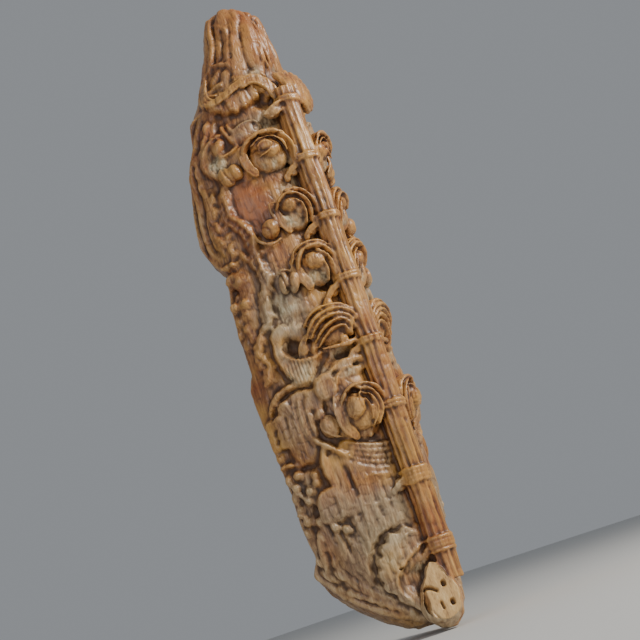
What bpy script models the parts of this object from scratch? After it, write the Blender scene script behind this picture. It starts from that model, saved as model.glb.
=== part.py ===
"""A carved wooden corbel: a half-round log with a reeded stem, scrolls, a bud above and a shell below.

The back lies in the plane y = 0, the carved front looks along -Y, and z = 0 is half way up.
A place on the carving is given by an angle round the log from the middle of its front, in degrees
with the left side positive, a height and a lift off the log, both in millimetres of a log 1150 long.
"""
import math

import bmesh
import bpy
from mathutils import Matrix, Vector

# driving dimensions, in metres
LENGTH = 1.15
HALF_WIDTH = 0.150
DEPTH = 0.148
STEM_RADIUS = 0.022
STEM_PROUD = 0.020
BED_RADIUS = 0.015
REED_COUNT = 10
BAND_THICKNESS = 0.0055
BAND_GAP = 0.1143
BAND_COUNT = 8
DOUBLE_BANDS = 2
FIRST_BAND = 0.327
STEM_TOP = 0.352
STEM_FOOT = -0.536
NAIL_RADIUS = 0.003
NAIL_DEPTH = 0.018
NAILS = ((0.008, 0.019), (0.012, -0.012))
NOSE_ANGLE = 22
NOSE_HEIGHT = -561
NOSE_LIFT = 9
NOSE_TURN = -36
NOSE_DIP = -14
NOSE_CUT = 0.019
SAW_BOX = (0.12, 0.12, 0.06)

# how finely the carving is cut
RIDGE = 1.14
GRAIN = 0.0044
TRIANGLES = 6600

# the log's sections from foot to top: height, how far the middle stands off the wall, half width
# and half depth, in millimetres of a log 1150 long, 150 half wide and 148 deep
SECTIONS = (
    (-595, 106, 30, 30),
    (-588, 100, 48, 50),
    (-570, 84, 66, 76),
    (-542, 62, 87, 96),
    (-510, 36, 107, 116),
    (-465, 10, 128, 140),
    (-390, 0, 146, 148),
    (-300, 0, 150, 148),
    (160, 0, 150, 148),
    (260, 10, 142, 139),
    (330, 28, 122, 121),
    (385, 54, 98, 92),
    (430, 70, 81, 76),
    (480, 84, 64, 62),
    (525, 88, 53, 54),
    (548, 90, 46, 46),
    (555, 91, 40, 40),
)
SIDES = 60
RING_GAP = 20
REED_SIDES = 4

# how far the carved edge stands off the wall: height and distance; behind it the side slopes in
EDGE = (
    (-480, 0),
    (-460, 10),
    (-440, 28),
    (-320, 32),
    (-200, 20),
    (-145, 15),
    (-120, 29),
    (-60, 27),
    (0, 30),
    (60, 42),
    (84, 22),
    (120, 6),
    (170, 8),
    (240, 20),
    (300, 38),
    (345, 36),
    (385, 0),
)
EDGE_SLOPE = 0.9
EDGE_PROUD = 6

UNIT = LENGTH / 1150
ACROSS = HALF_WIDTH / 150
DEEP = DEPTH / 148
STEM_AXIS = -(DEPTH + STEM_PROUD)
REED_RADIUS = STEM_RADIUS * math.sin(math.pi / REED_COUNT) / (1 + math.sin(math.pi / REED_COUNT))
STEM_CORE = STEM_RADIUS - 1.6 * REED_RADIUS


def section(height):
    """The log's middle, half width and half depth at a height, between the two nearest sections."""
    for low, high in zip(SECTIONS, SECTIONS[1:]):
        if height <= high[0]:
            break
    share = min(1.0, max(0.0, (height - low[0]) / (high[0] - low[0])))
    return [a + (b - a) * share for a, b in zip(low[1:], high[1:])]


def keel(turn):
    """The section's outline for a turn from the front: a round drawn in a little towards a ridge."""
    across, out = math.sin(turn), math.cos(turn)
    return math.copysign(abs(across) ** RIDGE, across), math.copysign(abs(out) ** RIDGE, out)


def place(angle, height, lift=0.0):
    """A point on the log, or lifted off it."""
    middle, half_width, half_depth = section(height)
    along, out = keel(math.radians(angle))
    x = -(half_width + lift) * along * ACROSS
    y = -(middle + (half_depth + lift) * out) * DEEP
    return Vector((x, y, height * UNIT))


def drawn_in(point):
    """A point of the block, moved in where it lies behind the carved edge, so that the side slopes in."""
    height = point[2] / UNIT
    if not EDGE[0][0] < height < EDGE[-1][0]:
        return point
    for low, high in zip(EDGE, EDGE[1:]):
        if height <= high[0]:
            break
    edge = low[1] + (high[1] - low[1]) * (height - low[0]) / (high[0] - low[0])
    behind = point[1] / DEEP + edge
    if behind <= 0:
        return point
    middle, half_width, half_depth = section(height)
    out = min(1.0, abs(edge - middle) / half_depth) ** (2 / RIDGE)
    across = half_width * math.sqrt(1 - out) ** RIDGE
    widest = max(half_width / 5, across + EDGE_PROUD - EDGE_SLOPE * behind) * ACROSS
    return Vector((max(-widest, min(widest, point[0])), point[1], point[2]))


def lying(angle, height, lift=0.0):
    """A frame on the log's skin: its x runs round to the left, its y up and its z outwards."""
    spot = place(angle, height, lift)
    around = (place(angle + 2, height, lift) - place(angle - 2, height, lift)).normalized()
    up = (place(angle, height + 4, lift) - place(angle, height - 4, lift)).normalized()
    out = up.cross(around).normalized()
    if out.dot(Vector((-math.sin(math.radians(angle)), -math.cos(math.radians(angle)), 0))) < 0:
        out = -out
    up = out.cross(around).normalized()
    if up.z < 0:
        up = -up
    frame = Matrix((around, up, out)).transposed().to_4x4()
    frame.translation = spot
    return frame


class Carving:
    """Gathers the rounded strokes and the bosses that stand on the log."""

    def __init__(self):
        self.strokes = []
        self.bosses = bmesh.new()

    def stroke(self, spots, thickness):
        """A rounded rib through spots of angle, height and lift; thickness is one size or one a spot."""
        points = [place(*spot) for spot in spots]
        if not hasattr(thickness, "__len__"):
            thickness = [thickness] * len(points)
        self.strokes.append((points, [size * UNIT for size in thickness]))

    def line(self, points, radius):
        """A rounded rib of one thickness through points in metres."""
        self.strokes.append((points, [radius] * len(points)))

    def boss(self, angle, height, lift, size, turn=0.0, sides=10):
        """An egg-shaped boss of three half sizes, turned in the plane of the log's skin."""
        frame = lying(angle, height, lift)
        shape = Matrix.Diagonal([UNIT, UNIT, UNIT, 1]) @ Matrix.Rotation(math.radians(turn), 4, "Z")
        shape = shape @ Matrix.Diagonal([*size, 1])
        bmesh.ops.create_uvsphere(self.bosses, u_segments=sides, v_segments=sides // 2 + 1,
                                  radius=1.0, matrix=frame @ shape)


def log_mesh():
    """The plain log, a loft through its sections that reaches behind the wall plane."""
    mesh = bmesh.new()
    rings = []
    steps = range(SECTIONS[0][0], SECTIONS[-1][0], RING_GAP)
    for height in sorted({*steps, *(row[0] for row in SECTIONS)}):
        middle, half_width, half_depth = section(height)
        ring = []
        for step in range(SIDES):
            along, out = keel(2 * math.pi * step / SIDES)
            x = half_width * along * ACROSS
            y = -(middle + half_depth * out) * DEEP
            ring.append(mesh.verts.new((x, y, height * UNIT)))
        rings.append(ring)
    for low, high in zip(rings, rings[1:]):
        for step in range(SIDES):
            nxt = (step + 1) % SIDES
            mesh.faces.new((low[step], low[nxt], high[nxt], high[step]))
    mesh.faces.new(list(reversed(rings[0])))
    mesh.faces.new(rings[-1])
    bmesh.ops.recalc_face_normals(mesh, faces=mesh.faces)
    return mesh


def stem_bed(carving):
    """The bed that the stem stands on, and its core, which ties the scrolls to it."""
    for y, radius in ((-(DEPTH + STEM_PROUD / 3), BED_RADIUS), (STEM_AXIS, STEM_CORE)):
        carving.line([Vector((0, y, STEM_TOP)), Vector((0, y, STEM_FOOT))], radius)


def reeded_stem():
    """The stem down the ridge: a bundle of round reeds."""
    outline = []
    for reed in range(REED_COUNT):
        turn = 2 * math.pi * reed / REED_COUNT
        for step in range(REED_SIDES):
            swing = turn + math.radians(-66 + 132 * step / (REED_SIDES - 1))
            x = (STEM_RADIUS - REED_RADIUS) * math.sin(turn) + REED_RADIUS * math.sin(swing)
            y = (STEM_RADIUS - REED_RADIUS) * math.cos(turn) + REED_RADIUS * math.cos(swing)
            outline.append((x, STEM_AXIS - y, STEM_FOOT))
    mesh = bmesh.new()
    base = mesh.faces.new([mesh.verts.new(spot) for spot in outline])
    raised = bmesh.ops.extrude_face_region(mesh, geom=[base])["geom"]
    top = [part for part in raised if isinstance(part, bmesh.types.BMVert)]
    bmesh.ops.translate(mesh, verts=top, vec=(0, 0, STEM_TOP - STEM_FOOT))
    bmesh.ops.recalc_face_normals(mesh, faces=mesh.faces)
    return mesh


def bands():
    """The raised bands that tie the stem, the two lowest of them double."""
    mesh = bmesh.new()
    for band in range(BAND_COUNT):
        height = FIRST_BAND - band * BAND_GAP
        rings = 2 if band >= BAND_COUNT - DOUBLE_BANDS else 1
        for ring in range(rings):
            bpy.ops.mesh.primitive_torus_add(major_segments=12, minor_segments=5, major_radius=STEM_RADIUS,
                                             minor_radius=BAND_THICKNESS,
                                             location=(0, STEM_AXIS, height - ring * 2.4 * BAND_THICKNESS))
            torus = bpy.context.object
            torus.data.transform(torus.matrix_world)
            mesh.from_mesh(torus.data)
            bpy.data.objects.remove(torus)
    return mesh


def band_height(band):
    """A band's height in millimetres of the 1150 long log."""
    return (FIRST_BAND - band * BAND_GAP) / UNIT


def tail(carving, side, band):
    """The leaf that hangs from a band beside the stem."""
    height = band_height(band)
    carving.stroke([(side * 6, height, 20), (side * 11, height - 10, 16), (side * 15, height - 24, 8)],
                   [7, 8, 3])


def scroll(carving, side, band, size=1.0, rise=38.0):
    """A curled rim round a bulb, springing from the stem above a band, with a bud at its tail."""
    height = band_height(band)
    rim = ((4, -18, 26), (8, 12, 32), (17, 24, 33), (27, 21, 30), (35, 6, 23), (35, -14, 16),
           (27, -36, 11), (14, -46, 10))
    carving.stroke([(side * a * size, height + rise + h * size, lift) for a, h, lift in rim],
                   [5, 6.5, 7, 7, 6.5, 6, 6, 4])
    carving.boss(side * 23 * size, height + rise - 4, 16, (24 * size, 26 * size, 25), sides=12)
    carving.boss(side * 41 * size, height + rise - 40, 4, (17, 18, 14), side * 30, sides=10)
    carving.stroke([(side * 32 * size, height + rise - 20, 8), (side * 38, height + rise - 18, 12),
                    (side * 47, height + rise - 28, 8)], [4, 5, 4])
    carving.stroke([(side * 30 * size, height + rise - 44, 5), (side * 37, height + rise - 60, 8),
                    (side * 47, height + rise - 56, 4)], [4, 4.5, 3])


def great_scroll(carving, side, band):
    """The large ribbed scroll, drawn out sideways, with a second curl below it."""
    height = band_height(band)
    for step in range(4):
        lift = 22 - 3 * step
        drop = 9 * step
        carving.stroke([(side * 3, height + 26 - drop, lift - 4), (side * 8, height + 50 - drop, lift),
                        (side * 18, height + 64 - drop, lift + 2), (side * 28, height + 60 - drop, lift),
                        (side * 36, height + 40 - drop, lift - 6),
                        (side * 39, height + 22 - drop / 2, lift - 12)], [5, 6, 6.5, 6.5, 6, 5])
    carving.boss(side * 22, height + 34, 12, (34, 25, 25), side * -8, sides=12)
    carving.boss(side * 42, height + 8, 6, (20, 17, 16), side * 24, sides=10)
    carving.stroke([(side * 48, height + 22, 6), (side * 54, height + 6, 9), (side * 49, height - 12, 9),
                    (side * 36, height - 18, 8)], [4, 5, 5, 3.5])
    carving.boss(side * 8, height - 4, 12, (9, 9, 9))


def bud(carving):
    """The closed bud on top: two large lobes in front and rows of pointed petals round them."""
    carving.boss(9, 478, 3, (17, 46, 13), 6, sides=12)
    carving.boss(-14, 472, 3, (15, 42, 13), -6, sides=12)
    for height, first, count, long in ((526, 0, 6, 24), (500, 20, 6, 32), (458, 42, 4, 34)):
        for step in range(count):
            for side in (1, -1):
                carving.boss(side * (first + 26 * step), height, 0, (12, long, 8), side * 8, sides=8)


def collar(carving, side):
    """The leaf that wraps the foot of the bud, its rib curling up at the back."""
    carving.stroke([(side * 4, 352, 18), (side * 12, 374, 16), (side * 26, 384, 13), (side * 42, 376, 12),
                    (side * 60, 372, 12), (side * 76, 384, 10), (side * 84, 410, 6), (side * 84, 440, 2),
                    (side * 66, 450, 1)], [8, 10, 11, 11, 11, 9, 7, 6, 4])
    for angle, height in ((18, 356), (31, 354), (44, 353), (58, 352)):
        carving.boss(side * angle, height, 3, (13, 13, 11), sides=8)
    for step in range(9):
        carving.boss(side * (10 + 7 * step), 401 + 5 * math.sin(step), 4, (5, 5, 5), sides=6)


def fan(carving):
    """The fan of ribs at the right of the bud's foot, on a rounded bed."""
    carving.boss(-24, 360, 8, (25, 33, 24), sides=12)
    for tip in ((-16, 398, 15), (-24, 388, 24), (-30, 375, 29), (-35, 361, 29), (-38, 346, 25), (-37, 330, 18)):
        half = ((-10 + tip[0]) / 2, (338 + tip[1]) / 2, 34)
        carving.stroke([(-9, 338, 28), half, tip], [5, 6.5, 6])


def knot(carving):
    """The top knot over the stem's first band."""
    height = band_height(0)
    carving.boss(0, height + 12, 14, (24, 15, 16), sides=10)
    carving.boss(3, height + 4, 30, (7, 7, 6), sides=8)
    carving.stroke([(4, height, 24), (14, height - 12, 12), (24, height - 26, 4)], [9, 9, 4])


def cup(carving, side):
    """The smooth round lobe and the cupped curl above the first scroll."""
    carving.boss(side * 36, 292, 2, (24, 21, 13), sides=12)
    carving.stroke([(side * 68, 252, 5), (side * 71, 276, 8), (side * 63, 294, 9), (side * 53, 284, 8),
                    (side * 50, 258, 5), (side * 58, 232, 4)], [5, 6, 6.5, 6.5, 5, 4])


def flange(carving, side):
    """The fluted border down the upper back edge, with a row of beads."""
    for angle, top, foot, wide in ((67, 350, 88, 8), (74, 366, 76, 9), (82, 372, 86, 9)):
        carving.stroke([(side * angle, top, 4), (side * angle, (top + foot) / 2, 6),
                        (side * angle, foot, 5)], [wide - 3, wide, wide])
    for step in range(12):
        carving.boss(side * 90, 366 - 24 * step, 5, (8, 9, 8), sides=8)
    carving.stroke([(side * 66, 74, 4), (side * 76, 62, 6), (side * 87, 80, 5)], [6, 8, 7])


def volute(carving, side):
    """The lobed volute below the border, rolled round a hollow."""
    carving.stroke([(side * 66, 56, 4), (side * 76, 52, 8), (side * 86, 34, 8), (side * 88, 6, 7),
                    (side * 84, -24, 7), (side * 77, -50, 5), (side * 71, -72, 2)], [7, 9, 10, 9, 9, 8, 5])
    carving.stroke([(side * 72, 34, 5), (side * 80, 16, 6), (side * 76, -8, 8), (side * 70, -26, 6)],
                   [5, 7, 8, 5])


def garland(carving, side):
    """The beaded strand that bounds the plain field, and the small leaves behind it."""
    route = ((66, 196), (60, 165), (57, 130), (57, 91), (57, 55), (56, 20), (56, -17), (59, -48),
             (63, -76), (68, -110), (73, -140), (76, -172), (77, -205), (78, -240), (80, -275))
    for step, (angle, height) in enumerate(route):
        size = 9 if step % 2 else 7.5
        carving.boss(side * angle, height, 4, (size, size + 2, 8), sides=8)
        carving.boss(side * (angle + 1), height - 16, 2, (6, 7, 6), sides=6)
    for step in range(9):
        height = 30 - 38 * step
        angle = 66 + 1.6 * max(0, step - 2)
        carving.boss(side * min(angle, 84), height, 1, (8, 14, 7), side * 35, sides=8)


def crescent(carving, side):
    """The smooth horn-shaped crescent under the great scroll."""
    carving.stroke([(side * 54, -80, 5), (side * 59, -104, 5), (side * 58, -130, 4), (side * 51, -150, 3),
                    (side * 42, -155, 3), (side * 34, -142, 3), (side * 30, -124, 2)],
                   [4, 7, 12, 15, 14, 10, 5])
    carving.boss(side * 53, -72, 6, (7, 7, 7), sides=8)


def wing(carving, side):
    """A folded wing of long feathers beside the torso, with two square tiles behind it."""
    for step in range(6):
        angle = 50 + 4.4 * step
        carving.stroke([(side * (angle - 1), -182 - 3 * step, 5), (side * (angle + 2), -215, 9 - step),
                        (side * (angle + 1), -262 - 4 * step, 5)], [5, 7, 4])
    carving.stroke([(side * 46, -186, 7), (side * 54, -172, 9), (side * 66, -172, 8), (side * 76, -188, 4)],
                   [6, 8, 8, 5])
    for height in (-215, -240):
        carving.boss(side * 79, height, 1, (9, 10, 8), sides=8)


def torso(carving, side):
    """The barrel-shaped body behind the fifth scroll, its ledge and its beaded arc."""
    carving.boss(side * 22, -226, -6, (42, 62, 20), sides=14)
    carving.stroke([(side * 4, -170, 12), (side * 14, -160, 10), (side * 24, -168, 8)], [7, 8, 6])
    route = ((28, -176), (32, -188), (34, -201), (36, -214), (40, -226), (46, -234))
    for angle, height in route:
        carving.boss(side * angle, height, 8, (5.5, 5.5, 5.5), sides=6)
    carving.stroke([(side * 50, -268, 3), (side * 38, -300, 5), (side * 29, -326, 6), (side * 18, -332, 7),
                    (side * 8, -318, 8)], [5, 6, 6, 6, 5])


def drapery(carving, side):
    """The hanging cloth below the torso: two stepped hems and long folds."""
    folds = ((14, -500, 10), (22, -508, 9), (30, -504, 11), (38, -512, 9), (46, -506, 10), (54, -512, 8),
             (61, -498, 9))
    for step, (angle, foot, wide) in enumerate(folds):
        sway = 1.5 * math.sin(2.1 * step)
        carving.stroke([(side * angle, -356, 4), (side * (angle + sway), -430, 5),
                        (side * (angle - sway), foot, 2)], [wide - 2, wide, wide - 3])
    for angle, height in ((59, -404), (53, -410)):
        carving.boss(side * angle, height, 8, (8, 8, 8), sides=8)
    carving.stroke([(side * 10, -352, 7), (side * 28, -346, 8), (side * 48, -334, 6)], [7, 8, 6])
    carving.stroke([(side * 12, -376, 7), (side * 30, -372, 8), (side * 47, -360, 5)], [6, 7, 5])


def foliage(carving, side):
    """Small knobs and curled leaves along the lower back edge."""
    knobs = ((73, -305, 11), (67, -318, 11), (61, -314, 9), (80, -330, 9), (78, -366, 10), (71, -384, 11),
             (77, -412, 10), (84, -440, 10), (76, -450, 8), (84, -480, 9))
    for angle, height, size in knobs:
        carving.boss(side * angle, height, 3, (size, size, size), sides=8)
    carving.stroke([(side * 84, -290, 3), (side * 87, -340, 5), (side * 86, -400, 5), (side * 88, -455, 5)],
                   [5, 7, 7, 6])


def foot_rim(carving, side):
    """The rounded rim along the lower edge."""
    carving.stroke([(side * 90, -462, 4), (side * 88, -500, 4), (side * 84, -535, 3), (side * 76, -562, 2),
                    (side * 64, -580, 1)], [7, 9, 10, 10, 7])


def shell(carving, side):
    """The scalloped leaf round the foot: a lobed edge, a raised rim and a hollow inside."""
    hub = lying(side * 20, -522)

    def spoke(turn, reach, lift):
        """A spot at a distance from the hub, in metres; the turn runs from the top round the outside."""
        across, up = math.sin(math.radians(turn)), math.cos(math.radians(turn))
        return hub @ Vector((side * reach * across * UNIT, reach * up * UNIT, lift * UNIT))

    for lobe in range(8):
        turn = -28 + 26 * lobe
        carving.line([spoke(turn, 44, 6), spoke(turn, 62, 0)], 12.5 * UNIT)
    carving.line([spoke(-40 + 26 * step, 42, 12) for step in range(9)], 6 * UNIT)


def nose(carving):
    """The blunt end of the stem at the foot."""
    carving.boss(NOSE_ANGLE, NOSE_HEIGHT, NOSE_LIFT, (33, 45, 34), sides=14)


def curves_mesh(strokes, bosses):
    """Turns every stroke into one bevelled curve, and adds its mesh to the bosses."""
    data = bpy.data.curves.new("strokes", "CURVE")
    data.dimensions = "3D"
    data.bevel_depth = 1.0
    data.bevel_resolution = 1
    data.resolution_u = 3
    data.use_fill_caps = True
    for points, radii in strokes:
        spline = data.splines.new("BEZIER")
        spline.bezier_points.add(len(points) - 1)
        for knot_point, point, radius in zip(spline.bezier_points, points, radii):
            knot_point.co = point
            knot_point.radius = radius
            knot_point.handle_left_type = "AUTO"
            knot_point.handle_right_type = "AUTO"
    curve = bpy.data.objects.new("strokes", data)
    bpy.context.scene.collection.objects.link(curve)
    mesh = evaluated_mesh(curve)
    bpy.data.objects.remove(curve)
    bosses.from_mesh(mesh)
    bmesh.ops.remove_doubles(bosses, verts=bosses.verts, dist=0.00001)


def evaluated_mesh(thing):
    """The mesh of an object with its modifiers, as a mesh of its own."""
    bpy.context.view_layer.update()
    graph = bpy.context.evaluated_depsgraph_get()
    return bpy.data.meshes.new_from_object(thing.evaluated_get(graph))


def largest_shell(mesh):
    """Keeps the outer skin, so that a pocket of air shut in between two forms is solid wood."""
    left = set(mesh.verts)
    shells = []
    while left:
        seed = left.pop()
        found = [seed]
        edge = [seed]
        while edge:
            for link in edge.pop().link_edges:
                for vert in link.verts:
                    if vert in left:
                        left.remove(vert)
                        found.append(vert)
                        edge.append(vert)
        shells.append(found)
    shells.sort(key=len, reverse=True)
    for shell_verts in shells[1:]:
        bmesh.ops.delete(mesh, geom=shell_verts, context="VERTS")


def timber():
    """Waxed reddish-brown hardwood."""
    material = bpy.data.materials.new("waxed hardwood")
    material.use_nodes = True
    shader = material.node_tree.nodes["Principled BSDF"]
    shader.inputs["Base Color"].default_value = (0.30, 0.14, 0.055, 1)
    shader.inputs["Roughness"].default_value = 0.45
    material.diffuse_color = (0.30, 0.14, 0.055, 1)
    return material


def worn_nose(cutters):
    """The sawn and worn face of the nose, with its nail holes, as cutters."""
    dip = Matrix.Rotation(math.radians(90 + NOSE_DIP), 4, "X")
    facing = Matrix.Rotation(math.radians(NOSE_TURN), 4, "Z") @ dip
    face = place(NOSE_ANGLE, NOSE_HEIGHT, NOSE_LIFT) + facing @ Vector((0, 0, NOSE_CUT))
    frame = Matrix.Translation(face) @ facing
    cuts = [cutter_box("saw", SAW_BOX, frame @ Matrix.Translation((0, 0, SAW_BOX[2] / 2)), cutters)]
    for number, spot in enumerate(NAILS, 1):
        mesh = bmesh.new()
        bmesh.ops.create_cone(mesh, cap_ends=True, segments=10, radius1=NAIL_RADIUS, radius2=NAIL_RADIUS,
                              depth=2 * NAIL_DEPTH, matrix=frame @ Matrix.Translation((*spot, 0)))
        cuts.append(cutter("nail hole %d" % number, mesh, cutters))
    return cuts


def cutter_box(name, size, matrix, collection):
    """A box that cuts, drawn as wire."""
    mesh = bmesh.new()
    bmesh.ops.create_cube(mesh, size=1.0, matrix=matrix @ Matrix.Diagonal([*size, 1]))
    return cutter(name, mesh, collection)


def cutter(name, mesh, collection):
    """An object that only cuts, or that a cut adds."""
    data = bpy.data.meshes.new(name)
    mesh.to_mesh(data)
    mesh.free()
    thing = bpy.data.objects.new(name, data)
    thing.display_type = "WIRE"
    thing.hide_render = True
    collection.objects.link(thing)
    return thing


def main():
    for thing in list(bpy.data.objects):
        bpy.data.objects.remove(thing)
    collection = bpy.data.collections.new("Carved corbel")
    cutters = bpy.data.collections.new("Cutters")
    bpy.context.scene.collection.children.link(collection)
    bpy.context.scene.collection.children.link(cutters)

    carving = Carving()
    stem_bed(carving)
    for side in (1, -1):
        for band in (1, 2, 3):
            scroll(carving, side, band)
        scroll(carving, side, 5, 1.2, 40)
        great_scroll(carving, side, 4)
        for band in (1, 2, 3, 4, 5, 6, 7):
            tail(carving, side, band)
        for motif in (collar, cup, flange, volute, garland, crescent, wing, torso, drapery, foliage,
                      foot_rim, shell):
            motif(carving, side)
    bud(carving)
    fan(carving)
    knot(carving)
    nose(carving)

    log = log_mesh()
    forms = carving.bosses
    curves_mesh(carving.strokes, forms)
    plain = bpy.data.meshes.new("log")
    log.to_mesh(plain)
    forms.from_mesh(plain)
    for vert in forms.verts:
        vert.co = drawn_in(vert.co)
    rough = bpy.data.meshes.new("rough")
    forms.to_mesh(rough)
    blank = bpy.data.objects.new("blank", rough)
    bpy.context.scene.collection.objects.link(blank)
    remesh = blank.modifiers.new("carve", "REMESH")
    remesh.mode = "VOXEL"
    remesh.voxel_size = GRAIN
    remesh.adaptivity = 0.0
    whole = evaluated_mesh(blank)
    bpy.data.objects.remove(blank)

    skin = bmesh.new()
    skin.from_mesh(whole)
    largest_shell(skin)
    bmesh.ops.triangulate(skin, faces=skin.faces)
    triangles = len(skin.faces)
    skin.to_mesh(whole)
    corbel = bpy.data.objects.new("carved_corbel", whole)
    corbel.data.materials.append(timber())
    collection.objects.link(corbel)
    thin = corbel.modifiers.new("fewer faces", "DECIMATE")
    thin.ratio = TRIANGLES / triangles
    behind = Matrix.Translation((0, LENGTH / 2, 0))
    wall = cutter_box("wall", (2 * LENGTH, LENGTH, 2 * LENGTH), behind, cutters)
    added = [cutter("stem", reeded_stem(), cutters), cutter("bands", bands(), cutters)]
    for tool in [*added, wall, *worn_nose(cutters)]:
        joint = corbel.modifiers.new(tool.name, "BOOLEAN")
        joint.operation = "UNION" if tool in added else "DIFFERENCE"
        joint.solver = "MANIFOLD"  # the thinned skin may fold on itself, where the exact solver fails
        joint.object = tool


main()
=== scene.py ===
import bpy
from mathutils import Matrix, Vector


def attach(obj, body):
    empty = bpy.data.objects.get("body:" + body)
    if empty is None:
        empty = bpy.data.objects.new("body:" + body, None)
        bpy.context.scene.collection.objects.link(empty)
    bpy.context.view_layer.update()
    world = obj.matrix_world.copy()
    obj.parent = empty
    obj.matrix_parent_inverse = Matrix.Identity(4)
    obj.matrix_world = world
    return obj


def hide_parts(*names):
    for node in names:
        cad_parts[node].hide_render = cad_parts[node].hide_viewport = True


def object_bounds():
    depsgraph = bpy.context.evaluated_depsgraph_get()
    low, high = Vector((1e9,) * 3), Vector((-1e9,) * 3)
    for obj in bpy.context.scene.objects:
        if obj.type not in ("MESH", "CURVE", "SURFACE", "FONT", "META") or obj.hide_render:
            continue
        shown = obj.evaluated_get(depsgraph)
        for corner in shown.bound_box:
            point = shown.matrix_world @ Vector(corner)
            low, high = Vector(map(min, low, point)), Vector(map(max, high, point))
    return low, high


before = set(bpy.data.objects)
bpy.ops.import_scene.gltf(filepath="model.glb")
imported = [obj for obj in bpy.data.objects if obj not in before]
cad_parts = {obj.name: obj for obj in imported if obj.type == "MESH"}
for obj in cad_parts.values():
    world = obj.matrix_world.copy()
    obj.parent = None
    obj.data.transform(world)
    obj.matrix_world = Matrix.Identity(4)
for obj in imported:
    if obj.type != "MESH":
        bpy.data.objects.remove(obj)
cad_box = [list(corner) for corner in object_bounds()]

import math

import bpy
import numpy as np
from mathutils import Matrix, Vector

# A place on the carving is an angle round the log from the middle of its front, in degrees with the
# left side positive, a height and a lift off the log's skin, both in millimetres.

# the log's sections from foot to top: height, how far the middle stands off the wall, half width and
# half depth
SECTIONS = np.array((
    (-595, 106, 30, 30),
    (-588, 100, 48, 50),
    (-570, 84, 66, 76),
    (-542, 62, 87, 96),
    (-510, 36, 107, 116),
    (-465, 10, 128, 140),
    (-390, 0, 146, 148),
    (-300, 0, 150, 148),
    (160, 0, 150, 148),
    (260, 10, 142, 139),
    (330, 28, 122, 121),
    (385, 54, 98, 92),
    (430, 70, 81, 76),
    (480, 84, 64, 62),
    (525, 88, 53, 54),
    (548, 90, 46, 46),
    (555, 91, 40, 40),
), dtype=float)

# how far the carved edge stands off the wall: height and distance; behind it the side slopes in
EDGE = np.array((
    (-480, 0),
    (-460, 10),
    (-440, 28),
    (-320, 32),
    (-200, 20),
    (-145, 15),
    (-120, 29),
    (-60, 27),
    (0, 30),
    (60, 42),
    (84, 22),
    (120, 6),
    (170, 8),
    (240, 20),
    (300, 38),
    (345, 36),
    (385, 0),
), dtype=float)
EDGE_SLOPE = 0.9
EDGE_PROUD = 6.0
# 1 would make the section an ellipse, and more draws it in between the front and the sides
RIDGE = 1.14
# about the millimetres in one degree round the log
ARC = 2.6
# a lift below everything, in millimetres
BURIED = -99

# the stem: where its axis stands off the wall, and its reeds, bands and bed
STEM_AXIS = -168.0
STEM_RADIUS = 22.0
REED_COUNT = 12
REED_RADIUS = 4.9
STEM_TOP = 352.0
STEM_FOOT = -536.0
FIRST_BAND = 327
BAND_GAP = 114.3
BANDS = [FIRST_BAND - BAND_GAP * band for band in range(8)]
# the two rings of a band: how far up, and how thick
BAND_RINGS = ((3.4, 3.7), (-3.4, 3.3))
DOUBLED_FROM = 6
DOUBLE_DROP = 13
BED_RADIUS = 15
BED_BEHIND = 13
FAN_RIBS = 13
# how long the leaf under each band but the first is, and the half size of the knob at its end
LEAVES = ((14, 5), (10, 5), (34, 8), (24, 6), (40, 5), (8, 4), (8, 4))
# how deep a scroll's lip goes in, how far it stands over its spots, and its share of their width
LIP_DEPTH = 13
LIP_RISE = 2
LIP_WIDER = 1.08

# the nose, the saw cut through it, and its nail holes
NOSE_ANGLE = 22
NOSE_HEIGHT = -561
NOSE_LIFT = 9
NOSE_TURN = -36
NOSE_DIP = -14
NOSE_CUT = 19
NAILS = ((8, 19), (12, -12))
NAIL_DEPTH = 9
# how far to each side and along the saw cuts, and where its flat face breaks off
SAW_REACH = (60, 62)
FACE_EDGE = -20
# the split and the two scratches in the sawn face: from x, y to x, y, bow, width and depth
SPLITS = ((-32, 13, -6, 12, 7, 2.6, 10), (-5, -8, -4, -17, 0, 1.8, 8), (-32, 8, -14, -34, -2, 1.6, 3))

# the slanted top of the bud: its height on the centre line and its fall to the right
BUD_TOP = 538
BUD_SLANT = 0.32
BUD_EASE = 6

# the carved part of the unrolled log, in degrees to each side and in height, and its grid
SPREAD = 108
BACK_COLUMNS = 20
ANGLE_STEP = 0.6
GRID_FOOT = -594
GRID_TOP = 554.5
HEIGHT_STEP = 1.6

# the plain right side of the foot: below a height, beyond an angle, and the lifts that it keeps
PLAIN_BELOW = -440
PLAIN_BEYOND = 8
PLAIN_LIFTS = (-4, 1.5)

VOXEL = 1.6
# the heights at which the block is cut into pieces, from the foot up
SLICES = (-330.0, -150.0, 0.0, 160.0, 330.0)
PIECES = ("foot_shell_and_drapery", "torso_and_wing", "great_scroll_part", "field_and_scrolls",
          "upper_scrolls", "bud_and_collar")
# how far inside the solids' box the carving stays, and how far past the wall it runs until it is cut there
INSET = 0.1
BEHIND_WALL = 99
# a face with more corners than this is a cut through the wood
MOST_CORNERS = 8

# the photograph's view, in degrees, pixels and metres
VIEW_TURN = -42
VIEW_RISE = -14.35
VIEW_ROLL = -18.54
PHOTO_PIXELS = 640
FOCAL_PIXELS = 1080
SENSOR = 36
AIM = (0, -0.09, 0)
DISTANCE = 1.890
EYE_ASIDE = 0.0030
EYE_DROP = 0.0548
FLOOR_COLOUR = (0.62, 0.62, 0.61)


def unit(vectors):
    return vectors / np.maximum(np.linalg.norm(vectors, axis=-1, keepdims=True), 1e-9)


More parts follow.
